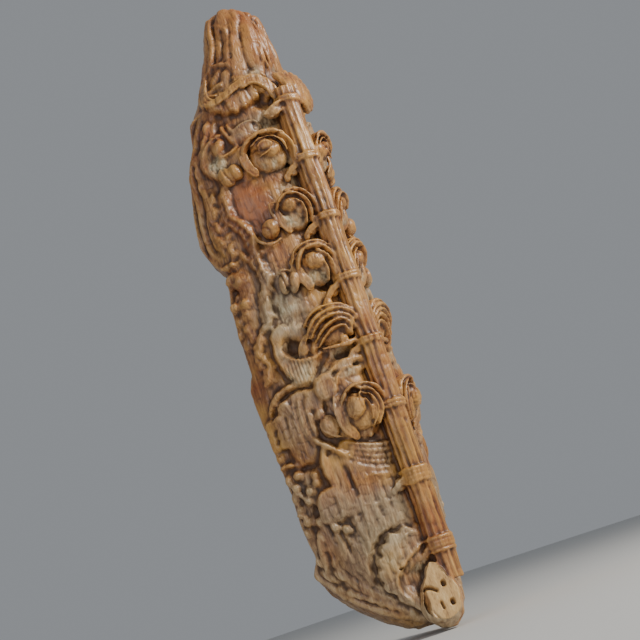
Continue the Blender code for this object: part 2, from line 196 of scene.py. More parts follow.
def section(height):
    """How far the log's middle stands off the wall at a height, its half width and its half depth."""
    return (np.interp(height, SECTIONS[:, 0], SECTIONS[:, k]) for k in (1, 2, 3))


def place(angle, height, lift=0.0):
    """Points on the log, or lifted off it, in millimetres."""
    angle, height, lift = np.broadcast_arrays(*(np.asarray(v, dtype=float) for v in (angle, height, lift)))
    middle, half_width, half_depth = section(height)
    turn = np.radians(angle)
    along = np.copysign(np.abs(np.sin(turn)) ** RIDGE, np.sin(turn))
    out = np.copysign(np.abs(np.cos(turn)) ** RIDGE, np.cos(turn))
    return np.stack((-(half_width + lift) * along, -(middle + (half_depth + lift) * out), height), axis=-1)


def skin(angle, height, lift=0.0):
    """The directions round to the left, up and outwards at places on the log."""
    around = unit(place(angle + 2.0, height, lift) - place(angle - 2.0, height, lift))
    up = unit(place(angle, height + 4.0, lift) - place(angle, height - 4.0, lift))
    out = unit(np.cross(up, around))
    return around, unit(np.cross(around, out)), out


def arc(height):
    """The length of one degree round the log at a height, in millimetres."""
    _, half_width, half_depth = section(height)
    return math.radians((half_width + half_depth) / 2)


def drawn_in(points):
    """Moves points in where they lie behind the carved edge, so that the side slopes in."""
    height = points[:, 2]
    edge = np.interp(height, EDGE[:, 0], EDGE[:, 1])
    behind = points[:, 1] + edge
    middle, half_width, half_depth = section(height)
    out = np.minimum(1, np.abs(edge - middle) / half_depth) ** (2 / RIDGE)
    across = half_width * np.sqrt(1 - out) ** RIDGE
    widest = np.maximum(half_width / 5, across + EDGE_PROUD - EDGE_SLOPE * behind)
    sloped = (behind > 0) & (height > EDGE[0, 0]) & (height < EDGE[-1, 0])
    moved = points.copy()
    moved[sloped, 0] = np.clip(points[sloped, 0], -widest[sloped], widest[sloped])
    return moved


def step_up(values, low, high):
    """0 below the low value, 1 above the high one and smooth between."""
    t = np.clip((values - low) / (high - low), 0, 1)
    return t * t * (3 - 2 * t)


def unrolled(points):
    """The angle, height and lift of points in millimetres."""
    middle, half_width, half_depth = section(points[:, 2])
    across = -points[:, 0]
    out = -points[:, 1] - middle
    lift = np.zeros(len(points))
    for _ in range(5):
        a = np.copysign(np.abs(across / (half_width + lift)) ** (1 / RIDGE), across)
        b = np.copysign(np.abs(out / (half_depth + lift)) ** (1 / RIDGE), out)
        reach = np.sqrt(a * a + b * b)
        lift = (half_width + lift) * reach ** RIDGE - half_width
        lift = np.clip(lift, -half_width * 0.9, 80)
    return np.degrees(np.arctan2(a, b)), points[:, 2].copy(), lift


def trace(spots, step=2.0, closed=False):
    """A smooth line of close spots through a few; a spot's first numbers are its angle and height."""
    spots = np.asarray(spots, dtype=float)
    if closed:
        spots = np.vstack((spots, spots[:1]))
    flat = spots[:, :2] * (ARC, 1)
    gaps = np.maximum(np.linalg.norm(np.diff(flat, axis=0), axis=1), 0.5)
    way = np.concatenate(([0], np.cumsum(gaps)))
    slopes = np.diff(spots, axis=0) / gaps[:, None]
    lean = np.zeros_like(spots)
    around = (gaps[1:] + gaps[:-1])[:, None]
    lean[1:-1] = (slopes[:-1] * gaps[1:, None] + slopes[1:] * gaps[:-1, None]) / around
    if closed:
        lean[0] = lean[-1] = (slopes[0] + slopes[-1]) / 2
    else:
        lean[0], lean[-1] = slopes[0], slopes[-1]
    at = np.linspace(0, way[-1], max(3, int(way[-1] / step) + 1))
    if closed:
        at = at[:-1]
    k = np.clip(np.searchsorted(way, at, side="right") - 1, 0, len(gaps) - 1)
    t = ((at - way[k]) / gaps[k])[:, None]
    g = gaps[k][:, None]
    return ((2 * t ** 3 - 3 * t ** 2 + 1) * spots[k] + (t ** 3 - 2 * t ** 2 + t) * g * lean[k]
            + (3 * t ** 2 - 2 * t ** 3) * spots[k + 1] + (t ** 3 - t ** 2) * g * lean[k + 1])


def beside(line, gap):
    """A line of spots moved sideways along the skin, by one gap or one a spot."""
    scale = arc(line[:, 1].mean())
    way = unit(np.gradient(line[:, :2] * (scale, 1), axis=0))
    moved = line.copy()
    moved[:, 0] += -way[:, 1] * gap / scale
    moved[:, 1] += way[:, 0] * gap
    return moved


def read(rows, name, width=1, kind=float):
    """One property of a mesh's vertices, edges, faces or corners, as an array."""
    values = np.empty(len(rows) * width, dtype=kind)
    rows.foreach_get(name, values)
    return values.reshape(-1, width) if width > 1 else values


def only_selected(thing):
    """Makes an object the one that Blender's operators work on."""
    bpy.ops.object.select_all(action="DESELECT")
    bpy.context.view_layer.objects.active = thing
    thing.select_set(True)


def taken(thing):
    """The vertices and faces of a new primitive, which is then deleted."""
    spots = read(thing.data.vertices, "co", 3)
    faces = [tuple(face.vertices) for face in thing.data.polygons]
    bpy.ops.object.delete()
    return spots, faces


def tube_faces(rings, sides):
    """The sides of a tube and its two ends."""
    faces = []
    for low in range(0, (rings - 1) * sides, sides):
        for k in range(sides):
            after = (k + 1) % sides
            faces.append((low + k, low + after, low + sides + after, low + sides + k))
    faces.append(tuple(reversed(range(sides))))
    faces.append(tuple(range((rings - 1) * sides, rings * sides)))
    return faces


def unit_ball():
    """A plain ball of one millimetre, whose stretched copies are the eggs, lobes and beads."""
    bpy.ops.object.select_all(action="DESELECT")
    bpy.ops.mesh.primitive_uv_sphere_add(segments=22, ring_count=13, radius=1)
    return taken(bpy.context.object)


class Forms:
    """Gathers closed rounded forms that overlap on the log. Angles are those of the left side, and are
    turned round while side is -1."""

    def __init__(self):
        self.spots = []
        self.faces = []
        self.count = 0
        self.side = 1
        self.ball, self.ball_faces = unit_ball()

    def add(self, spots, faces):
        self.spots.append(spots)
        self.faces.extend(tuple(self.count + k for k in face) for face in faces)
        self.count += len(spots)

    def own_side(self, spots):
        """Spots of the left side, turned round for the right one."""
        return np.array(spots, dtype=float) * ((self.side,) + (1,) * (len(spots[0]) - 1))

    def egg(self, angle, height, lift, size, turn=0.0, lean=0.0):
        """An egg of three half sizes, turned on the skin and leaning up off it."""
        angle, turn = self.side * angle, self.side * turn
        around, up, out = skin(angle, height, lift)
        c, s = math.cos(math.radians(turn)), math.sin(math.radians(turn))
        wide, tall = around * c + up * s, up * c - around * s
        c, s = math.cos(math.radians(lean)), math.sin(math.radians(lean))
        tall, deep = tall * c + out * s, out * c - tall * s
        shape = self.ball * size
        self.add(place(angle, height, lift) + shape[:, :1] * wide + shape[:, 1:2] * tall
                + shape[:, 2:] * deep, self.ball_faces)

    def sweep(self, line, sides=10):
        """A rounded rib; a spot is an angle, a height, a lift, a half width and perhaps a half thickness."""
        centre = place(line[:, 0], line[:, 1], line[:, 2])
        wide = line[:, 3]
        deep = line[:, 4] if line.shape[1] > 4 else wide
        way = unit(np.gradient(centre, axis=0))
        out = skin(line[:, 0], line[:, 1], line[:, 2])[2]
        side = unit(np.cross(way, out))
        out = unit(np.cross(side, way))
        ends = ((0.95, 0.12), (0.85, 0.5), (0.6, 0.8))
        first = [(centre[0] - way[0] * wide[0] * e, wide[0] * f, deep[0] * f, side[0], out[0]) for e,
                f in ends]
        last = [(centre[-1] + way[-1] * wide[-1] * e, wide[-1] * f, deep[-1] * f, side[-1], out[-1])
                for e, f in reversed(ends)]
        rings = first + list(zip(centre, wide, deep, side, out)) + last
        turns = 2 * np.pi * np.arange(sides) / sides
        spots = np.vstack([spot + np.outer(np.cos(turns) * w, s) + np.outer(np.sin(turns) * d, o)
                for spot, w, d, s, o in rings])
        self.add(spots, tube_faces(len(rings), sides))

    def rib(self, spots, slim=0.7):
        """A raised rib, which may be slimmer than it is tall."""
        spots = self.own_side(spots)
        tall = spots[:, 3] * 0.85
        spots[:, 3] *= slim
        self.sweep(trace(np.column_stack((spots, tall))))

    def wall(self, spots, deep):
        """A thin upright wall whose rounded top runs through the spots, such as the lip of a scroll."""
        spots = self.own_side(spots)
        spots[:, 2] -= deep
        self.sweep(trace(np.column_stack((spots, np.full(len(spots), deep)))))

    def lip(self, spots):
        """The thin lip of a scroll, through spots a little below its rounded top."""
        self.wall([(angle, height, lift + LIP_RISE, wide * LIP_WIDER) for angle, height, lift,
                wide in spots], LIP_DEPTH)

    def band(self, spots, strands, gap):
        """A ribbon of parallel strands."""
        spots = self.own_side(spots)
        line = trace(spots)
        for k in range(strands):
            self.sweep(beside(np.column_stack((line, line[:, 3] * 0.85)), (k - (strands - 1) / 2) * gap))
        self.sweep(np.column_stack((line[:, :2], line[:, 2] - 1.5,
                line[:, 3] * 0.8 + gap * (strands - 1) / 2, line[:, 3] * 0.7)))

    def rod(self, x, y, low, high, radius, sides=14):
        """An upright rod, in millimetres."""
        turns = 2 * np.pi * np.arange(sides) / sides
        heights = np.linspace(low, high, 24)
        spots = np.vstack([np.column_stack((x + radius * np.cos(turns), y + radius * np.sin(turns),
                np.full(sides, h))) for h in heights])
        self.add(spots, tube_faces(len(heights), sides))


def stem(forms):
    """The reeded stem on its bed, and the bands that tie it."""
    forms.rod(0, STEM_AXIS + BED_BEHIND, STEM_FOOT, STEM_TOP, BED_RADIUS)
    forms.rod(0, STEM_AXIS, STEM_FOOT, STEM_TOP, STEM_RADIUS - 0.75 * REED_RADIUS)
    for reed in range(REED_COUNT):
        turn = 2 * math.pi * (reed + 0.5) / REED_COUNT
        reach = STEM_RADIUS - REED_RADIUS
        forms.rod(reach * math.sin(turn), STEM_AXIS + reach * math.cos(turn), STEM_FOOT, STEM_TOP,
                REED_RADIUS)
    for number, height in enumerate(BANDS):
        for drop in (0, DOUBLE_DROP) if number >= DOUBLED_FROM else (0,):
            for rise, thick in BAND_RINGS:
                ring(forms, height - drop + rise, thick)


def ring(forms, height, thick):
    """A level round ring on the stem."""
    bpy.ops.object.select_all(action="DESELECT")
    bpy.ops.mesh.primitive_torus_add(major_segments=44, minor_segments=12, major_radius=STEM_RADIUS,
            minor_radius=thick, location=(0, STEM_AXIS, height))
    loop = bpy.context.object
    loop.data.transform(loop.matrix_world)
    forms.add(*taken(loop))


class Ground:
    """The skin of the block: how far each place on an unrolled grid stands off the plain log."""

    def __init__(self):
        self.angles = np.arange(-SPREAD, SPREAD + 0.1, ANGLE_STEP)
        self.heights = np.arange(GRID_FOOT, GRID_TOP, HEIGHT_STEP)
        self.lift = np.zeros((len(self.heights), len(self.angles)))

    def near(self, line, reach):
        """The part of the grid near a line: distance from it, signed distance and share of the way along."""
        scale = arc(line[:, 1].mean())
        rows = slice(*np.searchsorted(self.heights, (line[:, 1].min() - reach, line[:, 1].max() + reach)))
        columns = slice(*np.searchsorted(self.angles,
                (line[:, 0].min() - reach / scale, line[:, 0].max() + reach / scale)))
        x, y = np.meshgrid(self.angles[columns] * scale, self.heights[rows])
        best = np.full(x.shape, 1e9)
        aside = np.zeros(x.shape)
        share = np.zeros(x.shape)
        for k in range(len(line) - 1):
            start = line[k, :2] * (scale, 1)
            way = line[k + 1, :2] * (scale, 1) - start
            t = np.clip(((x - start[0]) * way[0] + (y - start[1]) * way[1]) / max(way @ way, 1e-9), 0, 1)
            dx, dy = x - start[0] - t * way[0], y - start[1] - t * way[1]
            d = np.hypot(dx, dy)
            closer = d < best
            best[closer] = d[closer]
            aside[closer] = np.sign(way[0] * dy - way[1] * dx)[closer]
            share[closer] = (k + t)[closer]
        return rows, columns, best, aside * best, share

    def keep_higher(self, rows, columns, shape):
        """Lays a raised form on the skin, where it stands higher than what is there."""
        self.lift[rows, columns] = np.maximum(self.lift[rows, columns], shape)

    def ribbon(self, spots, fall=None, strands=1, groove=1.6, tilt=0.0, keel=0.0, veins=0):
        """A raised strip through spots of angle, height, top lift and half width; it may be combed into
        strands, tilted like a tile, keeled along its middle or veined like a leaf."""
        line = trace(spots, 4.0)
        rows, columns, d, aside, share = self.near(line, line[:, 3].max() + 2)
        at = np.arange(len(line))
        wide = np.interp(share, at, line[:, 3])
        top = np.interp(share, at, line[:, 2])
        c = np.clip(aside / wide, -1, 1)
        drop = wide * 0.75 if fall is None else fall
        top = top - drop * (1 - np.sqrt(1 - c * c)) + tilt * c + keel * np.exp(-(aside / 1.5) ** 2)
        if strands > 1:
            top = top - groove * (1 - np.abs(np.sin(np.pi * (c + 1) / 2 * strands))) ** 1.4
        if veins:
            along = share / (len(line) - 1)
            wave = np.cos(2 * np.pi * (along * veins - 0.5 * np.abs(c)))
            top = top - 1.1 * np.clip(wave, 0, 1) ** 3 * np.abs(c)
        self.keep_higher(rows, columns, np.where(d < wide, top, BURIED))

    def reach_of(self, angle, height, across, up, turn, power=2.0):
        """The part of the grid round an oval, with 0 at its middle and 1 on its edge."""
        scale = arc(height)
        most = 1.15 * max(across, up) + 2
        rows = slice(*np.searchsorted(self.heights, (height - most, height + most)))
        columns = slice(*np.searchsorted(self.angles, (angle - most / scale, angle + most / scale)))
        x, y = np.meshgrid((self.angles[columns] - angle) * scale, self.heights[rows] - height)
        c, s = math.cos(math.radians(turn)), math.sin(math.radians(turn))
        u, v = np.abs((x * c + y * s) / across), np.abs((y * c - x * s) / up)
        return rows, columns, (u ** power + v ** power) ** (1 / power)

    def mound(self, angle, height, across, up, top, turn=0.0, fall=None, power=2.0):
        """A rounded raised oval with a top lift; a turned one leans to the left."""
        rows, columns, d = self.reach_of(angle, height, across, up, turn, power)
        drop = 0.8 * min(across, up) if fall is None else fall
        dome = top - drop * (1 - np.sqrt(1 - np.minimum(d, 1) ** 2))
        self.keep_higher(rows, columns, np.where(d < 1, dome, BURIED))

    def hollow(self, angle, height, across, up, depth, turn=0.0):
        """A soft oval dip."""
        rows, columns, d = self.reach_of(angle, height, across, up, turn)
        self.lift[rows, columns] -= depth * (1 - step_up(d, 0.35, 1.0))

    def groove(self, spots, width, depth):
        """A soft cut along a line."""
        line = trace(spots, 4.0)
        rows, columns, d, _, _ = self.near(line, 3 * width)
        self.lift[rows, columns] -= depth * np.exp(-(d / width) ** 2)

    def face(self, outline, top, bevel=2.5):
        """A flat raised face with a given outline and rounded edges; top is one lift or a slope's
        middle lift, its rise per degree and its rise per millimetre of height."""
        line = trace(outline, 4.0, closed=True)
        line = np.vstack((line, line[:1]))
        rows, columns, d, _, _ = self.near(line, 2)
        x, y = np.meshgrid(self.angles[columns], self.heights[rows])
        inside = np.zeros(x.shape, dtype=bool)
        for (x0, y0), (x1, y1) in zip(line[:-1, :2], line[1:, :2]):
            crosses = (y0 > y) != (y1 > y)
            inside ^= crosses & (x < (x1 - x0) * (y - y0) / (y1 - y0 if y1 != y0 else 1e-9) + x0)
        if isinstance(top, tuple):
            middle = line[:, :2].mean(axis=0)
            top = top[0] + top[1] * (x - middle[0]) + top[2] * (y - middle[1])
        edge = 1 - np.clip(d / bevel, 0, 1)
        self.keep_higher(rows, columns, np.where(inside, top - 0.8 * bevel * edge ** 2, BURIED))

    def mirrored(self):
        """Gives the right half the left half's carving, but for the foot, which it keeps plain."""
        self.lift = np.where(self.angles[None, :] < 0, self.lift[:, ::-1], self.lift)
        foot = (self.heights[:, None] < PLAIN_BELOW) & (self.angles[None, :] < -PLAIN_BEYOND)
        self.lift = np.where(foot, np.clip(self.lift, *PLAIN_LIFTS), self.lift)

    def softened(self, rounds):
        """Rubs the edges down, as use and wax do."""
        for _ in range(rounds):
            for axis in (0, 1):
                beside_it = np.roll(self.lift, 1, axis) + np.roll(self.lift, -1, axis)
                self.lift = self.lift * 0.5 + 0.25 * beside_it

    def wrapped(self):
        """The block's skin: a flat grid rolled round the log and closed at both ends."""
        behind = np.linspace(SPREAD, 360 - SPREAD, BACK_COLUMNS)[1:-1]
        angles = np.concatenate((self.angles, behind, self.angles[:1] + 360))
        heights = np.concatenate((self.heights[:1], self.heights, self.heights[-1:]))
        bpy.ops.object.select_all(action="DESELECT")
        bpy.ops.mesh.primitive_grid_add(x_subdivisions=len(angles) - 1, y_subdivisions=len(heights) - 1,
                size=2)
        sheet = bpy.context.object
        spots = read(sheet.data.vertices, "co", 3)
        column = np.rint((spots[:, 0] + 1) / 2 * (len(angles) - 1)).astype(int)
        row = np.rint((spots[:, 1] + 1) / 2 * (len(heights) - 1)).astype(int)
        corners = read(sheet.data.loops, "vertex_index", kind=np.int64)
        bpy.ops.object.delete()
        lift = np.zeros((len(heights), len(angles)))
        lift[1:-1, :len(self.angles)] = self.lift
        lift[1:-1, -1] = self.lift[:, 0]
        placed = place(angles[column], heights[row], lift[row, column])
        ends = (row == 0) | (row == len(heights) - 1)
        placed[ends, 0] = 0
        placed[ends, 1] = -next(section(heights[row[ends]]))
        return placed, corners.reshape(-1, 4)


# what is carved in the skin of the block, on its left half

def bud_petals(g):
    """The closed bud: broad upright leaves that overlap round it, blunt at the top."""
    for spots, fall in ((((98, 424, 3, 10), (98, 470, 6, 15), (98, 510, 6, 13), (98, 545, 4, 9)), 6),
            (((63, 440, 0, 8), (62, 470, 3, 11), (62, 500, 3, 10), (64, 524, 1, 4)), 5),
            (((49, 480, 3, 11), (50, 508, 6, 18), (48, 530, 8, 17), (46, 552, 6, 12)), 6),
            (((52, 436, 2, 8), (51, 462, 5, 10), (50, 486, 3, 5)), 5),
            (((33, 398, 2, 10), (37, 424, 6, 17), (39, 454, 9, 18), (41, 480, 8, 14), (42, 502, 4, 5)),
            8), (((33, 476, 4, 5), (33, 498, 9, 10), (30, 520, 9, 10), (27, 542, 6, 7)), 5)):
        g.ribbon(spots, fall=fall, tilt=-1.0)
    g.ribbon(((79, 438, 5, 4), (77, 458, 8, 6), (76, 486, 9, 6.5), (80, 514, 9, 6.5), (80, 540, 6, 4)),
            fall=3, tilt=1)
    g.ribbon(((71, 527, 4, 2), (61, 517, 7, 3), (53, 508, 8, 3.4), (47.5, 497, 9, 3), (46.5, 486, 6, 2)),
            fall=2)
    g.ribbon(((78, 446, 6, 2.4), (65, 441, 6.5, 2.4), (55, 436, 7, 2.6), (46, 426, 7, 2.6),
            (41, 408, 5, 2.2)), fall=1.6)
    g.mound(52, 414, 11, 16, 4, 16, fall=6)
    g.mound(66, 418, 9, 16, 5, 24, fall=6)
    for spots in (((25, 508), (28, 470), (27, 436), (22, 412)), ((45, 496), (46, 470), (45, 440)),
            ((57, 506), (58, 480), (57, 450)), ((71, 520), (71, 490), (70, 452))):
        g.groove(spots, 2.0, 4.6)


def bud_front(g):
    """The two large lobes of the bud over the stem, the left one with a twisted ridge."""
    g.ribbon(((10, 404, 3, 9), (14, 430, 10, 16), (13, 464, 13, 19), (13, 496, 12, 17),
            (14, 526, 7, 10)), fall=8)
    g.ribbon(((-22, 420, 2, 8), (-20, 446, 8, 13), (-17, 478, 9, 13), (-12, 512, 4, 7)), fall=9)
    g.ribbon(((-46, 420, 2, 8), (-42, 446, 7, 12), (-38, 478, 7, 11), (-34, 512, 3, 6)), fall=8)
    g.ribbon(((-1, 500, 5, 4), (-2, 480, 9, 6), (-5, 460, 10, 6), (-8, 436, 9, 5), (-12, 420, 5, 4)), fall=4)
    g.ribbon(((20, 458, 12, 2), (12, 462, 15, 3), (5, 455, 16, 3.6), (4, 440, 15, 3.6),
            (2, 424, 12, 3.4), (-3, 412, 7, 3)), fall=3)
    g.ribbon(((14, 452, 13, 2), (9, 446, 15, 2.6), (8, 432, 14, 2.6), (6, 420, 10, 2.4)), fall=2)
    g.groove(((0, 505), (1, 480), (0, 466)), 1.8, 3.5)
    g.groove(((-30, 505), (-30, 470), (-33, 430)), 1.8, 3.5)
    for angle, height in ((-6, 528), (-24, 524), (18, 532), (2, 516)):
        g.mound(angle, height, 9, 9, 5, fall=4)


# the upper and lower edges of the collar's leaf: angle and height
COLLAR_HIGH = ((8, 345), (13, 365), (19, 379), (27, 385), (34, 382), (42, 375), (49, 367), (56, 361),
        (69, 375))
COLLAR_LOW = ((9, 362), (22, 357), (29, 346), (36, 340), (44, 336), (52, 341), (64, 357))


def collar_leaf(g):
    """The ground of the collar: a hanging ribbed leaf under an S-shaped rib, and a dish of dots behind."""
    for number in range(16):
        angle = 10 + 3.6 * number
        high = np.interp(angle, *zip(*COLLAR_HIGH)) - 3
        low = np.interp(angle, *zip(*COLLAR_LOW)) + 2.5 * math.sin(2.6 * number)
        top = 12.5 + 1.6 * math.sin(2.1 * number)
        g.ribbon(((angle + 3, high, top, 5.2), (angle + 1.5, (high + low) / 2, top, 5.6),
                (angle - 1.5, low, top - 3.5, 4)), fall=3.2, keel=0.9)
    for number in range(11):
        g.mound(8 + 3.4 * number, 394 + 5 * math.sin(number * 0.9), 3.0, 3.2, 7, fall=2.4)
        g.mound(10 + 3.4 * number, 401 + 4 * math.sin(number * 0.7), 2.6, 2.8, 5.5, fall=2)
    for number in range(6):
        g.mound(57 + 3.2 * number, 398 + 3 * math.sin(number), 2.6, 5, 5, fall=2)
    g.ribbon(((80, 414, 5, 3), (77, 397, 8, 3.4), (70, 386, 9, 3), (63, 383, 8, 2)), fall=3)
    g.ribbon(((78, 446, 3, 3), (88, 430, 6, 4), (92, 410, 8, 5), (87, 390, 8, 5), (78, 376, 7, 4)),
            fall=4, strands=2)
    g.mound(98, 430, 12, 24, 4)
    g.hollow(62, 338, 30, 9, 4)
    g.hollow(20, 340, 26, 13, 6)


def cup_ground(g):
    """The cupped curl and the pale leaf stripes above the first scroll."""
    g.mound(37, 291, 26, 20, 11, -14, fall=11)
    g.ribbon(((44, 302, 10, 2), (36, 309, 13, 2.6), (29, 305, 14, 2.6), (25, 294, 10, 2)), fall=2)
    g.groove(((46, 306), (44, 290), (42, 276)), 2.2, 3)
    for shift in (0, 5):
        g.ribbon(((55 - shift, 318, 4, 2), (51 - shift, 300, 7, 2.6), (47 - shift, 284, 8, 2.6),
                (43 - shift, 270, 5, 2)), fall=2)
    g.mound(61, 262, 22, 36, 6, -6, fall=6)
    g.hollow(60, 264, 12, 18, 5)
    g.mound(56.5, 281, 10.5, 15, 11, 12, fall=8)
    g.ribbon(((57, 268, 4, 2), (54, 259, 9, 2.6), (49, 261, 9, 2.8), (44, 268, 7, 2.2)), fall=2)
    g.ribbon(((54, 302, 6, 2.4), (61, 300, 9, 3.8), (67, 286, 10, 5), (69, 264, 9, 5.4),
            (66, 244, 9, 5.4), (60, 230, 8, 5), (54, 222, 6, 4)), fall=4, strands=2, groove=1.2)
    g.ribbon(((66, 236, 3, 3), (60, 226, 6, 5), (56, 206, 4, 5), (55, 190, 3, 4)), fall=4)
    for number in range(4):
        g.mound(62.5 - 0.8 * number, 306 - 9 * number, 3, 5, 8, 10)


def flange_ground(g):
    """The fluted border down the upper back edge: long soft ridges and a knobbed rim."""
    g.face(((61, 348), (61, 290), (68, 230), (62, 190), (62, 120), (63, 84), (70, 68), (80, 70),
            (90, 90), (96, 150), (98, 240), (98, 330), (90, 366), (74, 364)), 3, 4)
    g.ribbon(((65, 342, 5, 5), (69, 300, 7, 5), (74, 262, 7, 6), (73, 222, 8, 6), (70, 186, 9, 7.5),
            (72, 150, 9, 8.5), (71.5, 112, 8, 7), (68, 90, 5, 4)), fall=4)
    g.ribbon(((76, 352, 6, 5), (79, 300, 7, 6), (81, 240, 8, 6), (79, 196, 8, 6), (80, 150, 8, 6),
            (79, 110, 7, 5), (75, 90, 5, 4)), fall=4)
    g.ribbon(((86, 360, 5, 6), (88, 300, 7, 7), (89, 230, 7, 7), (87.5, 165, 8, 7), (87.5, 130, 8, 7),
            (86, 100, 8, 7), (81, 80, 8, 6), (74, 69, 8, 5.5), (66, 67, 7, 5)), fall=5)
    for number in range(14):
        height = 352 - 20.5 * number
        g.mound(88 + 1.2 * math.sin(2.3 * number), height, 7, 9 + 1.5 * math.sin(1.7 * number), 10,
                12 * math.sin(number))
    for number in range(9):
        height = 330 - 27 * number
        g.mound(67 + 8 * (height < 280) * (height > 200) + math.sin(number), height, 5, 12, 9.5,
                14 * math.sin(1.4 * number))
    for spots in (((73, 350), (74.5, 300), (77, 250), (75.5, 200), (76, 150), (75, 104)),
            ((83, 356), (84.5, 290), (85, 220), (83.5, 160), (83.5, 104))):
        g.groove(spots, 1.8, 3.5)
    for number in range(7):
        g.mound(66 + 3.6 * number, 67 + 0.5 * (number - 2) ** 2, 5.5, 6, 11, fall=4)
    g.ribbon(((61, 104, 3, 3), (64, 95, 7, 4), (62, 84, 6, 3)), fall=3)
    g.ribbon(((59, 84, 3, 3), (57.5, 76, 7, 4.5), (54.5, 60, 4, 3)), fall=3)


def garland_ground(g):
    """The strand of long drops that bounds the plain field."""
    route = ((58, 200), (58, 176), (57.5, 155), (54.5, 138), (50.5, 124), (49, 104), (49, 80),
            (49.3, 56), (48, 38), (48, 22), (51, 2), (53, -20), (53.5, -40), (57, -55), (63, -70),
            (66, -95), (63, -118), (65, -140))
    g.ribbon([(a, h, 3.5, 7) for a, h in route], fall=4)
    line = trace(route, 11.5)
    way = np.gradient(line * (ARC, 1), axis=0)
    for number, ((angle, height), (x, y)) in enumerate(zip(line, way)):
        turn = math.degrees(math.atan2(-x, y)) + 12 * math.sin(2.3 * number)
        g.mound(angle + 0.7 * math.sin(1.9 * number), height, 5.4 + math.sin(1.3 * number),
                9.5 + 2.5 * math.sin(2.9 * number), 9 + 1.2 * math.sin(number), turn, fall=5)
        g.mound(angle + 3.6, height - 6, 4, 7.5, 6.5, turn + 20, fall=4)
        if number % 2:
            g.mound(angle - 2.8, height - 5, 3, 4.5, 5, fall=3)
    g.groove([(a - 4.3, h) for a, h in route[:-4]], 2.4, 2.2)
    for number in range(9):
        height = 188 - 17 * number
        g.ribbon(((60.5, height + 4, 3, 2.4), (63.5, height - 2, 6, 4), (65.5, height - 10, 3, 2.4)), fall=3)


def volute_ground(g):
    """The lobed volute below the border, rolled round a hollow."""
    g.face(((58, 50), (66, 56), (76, 52), (84, 36), (87, 8), (86, -22), (80, -50), (72, -62), (64, -52),
            (60, -30), (59, -5), (57, 22)), 4, 4)
    g.ribbon(((60, 34, 7, 6), (66, 44, 10, 8), (75, 42, 11, 8), (82, 26, 11, 8), (84, 2, 10, 8),
            (82, -26, 9, 7.5), (77, -48, 7, 6)), fall=5)
    g.mound(65.5, 36, 13, 12, 11, 0, fall=6)
    g.hollow(71.5, 18, 13, 17, 13)
    g.mound(71, 12, 5, 8, 3, 20)
    for angle, height, across, up, top in ((65.5, -5, 9, 9, 11), (73.5, -3, 9, 9, 12),
            (79, -16, 7, 9, 11), (67, -24, 8, 10, 8), (74, -30, 9, 10, 9), (70, -46, 8, 9, 8),
            (77, -48, 7, 9, 8), (68, -62, 8, 10, 6), (61, 8, 6, 12, 6), (86, 20, 7, 12, 9),
            (87, -8, 7, 12, 9), (74, -70, 8, 12, 6)):
        g.mound(angle, height, across, up, top, 20, fall=5)


def crescent_ground(g):
    """The smooth horn-shaped face under the great scroll, round a dark bowl, with its button."""
    g.face(((50, -62), (57, -74), (57.5, -92), (57.5, -112), (56, -134), (52.5, -154), (48, -169),
            (43, -170), (39, -158), (36, -142), (33, -129), (38, -125), (44, -126), (49.5, -116),
            (52, -104), (50.5, -90), (46, -78)), (9, 0.15, 0.01), 3)
    g.ribbon(((54, -82, 10, 2.6), (56.6, -102, 11, 2.6), (55.6, -123, 11, 2.6), (53, -138, 11, 2.6),
            (50, -154, 10, 2.6), (46, -167, 9, 2.2)), fall=2)
    g.ribbon(((31.5, -127, 7, 2), (36, -132.5, 11, 2.8), (41, -132, 12, 2.8), (46, -127, 12, 2.8),
            (51, -117, 12, 2.6), (53.5, -106, 11, 2)), fall=2)
    g.hollow(46, -103, 17, 19, 13, 10)
    g.mound(49.5, -70, 10, 10, 10, fall=4)
    g.groove(((59, -80), (59.5, -110), (58, -138), (54, -160), (49, -174)), 2.4, 5)
    g.groove(((29, -132), (34, -150), (40, -168)), 4.2, 8)


def torso_ground(g):
    """The barrel behind the fifth scroll: its ledge, striped band, beads, pillar and strips."""
    g.mound(22, -222, 44, 62, 16, 6, fall=15, power=2.6)
    g.face(((2, -152), (8, -149), (17, -146), (24, -149), (30, -157), (33, -166), (26, -166), (14, -160),
            (3, -163)), (18, -0.2, 0), 3)
    g.ribbon(((3, -160, 14, 5), (12, -170, 15, 7), (22, -174, 15, 6), (28, -182, 15, 5),
            (30, -196, 15, 5)), fall=2, strands=4, groove=1.2)
    for angle, height in trace(((18, -164), (21.5, -165), (25, -168), (28, -175), (29.5, -185),
            (31.5, -195), (32.5, -204), (33, -214)), 5.2):
        g.mound(angle, height, 2.8, 2.8, 19.5, fall=2.5)
    g.face(((31.5, -164), (39, -166), (39.5, -206), (33, -206)), 15, 3)
    g.face(((41, -178), (45, -180), (45.5, -216), (41.5, -218)), 9, 2)
    for number in range(8):
        g.groove(((41, -182 - 4.6 * number), (45.4, -180 - 4.6 * number)), 1.0, 1.8)
    g.mound(43, -226, 9, 11, 12, fall=6)
    for number in range(4):
        g.groove(((31.5, -170 - 10 * number), (39.5, -172 - 10 * number)), 0.9, 1.4)
    for number in range(4):
        g.groove(((34 - 1.5 * number, -268 - number), (26 - 2.5 * number, -284 + number),
                (12, -296 + 3 * number)), 1.4, 1.6)


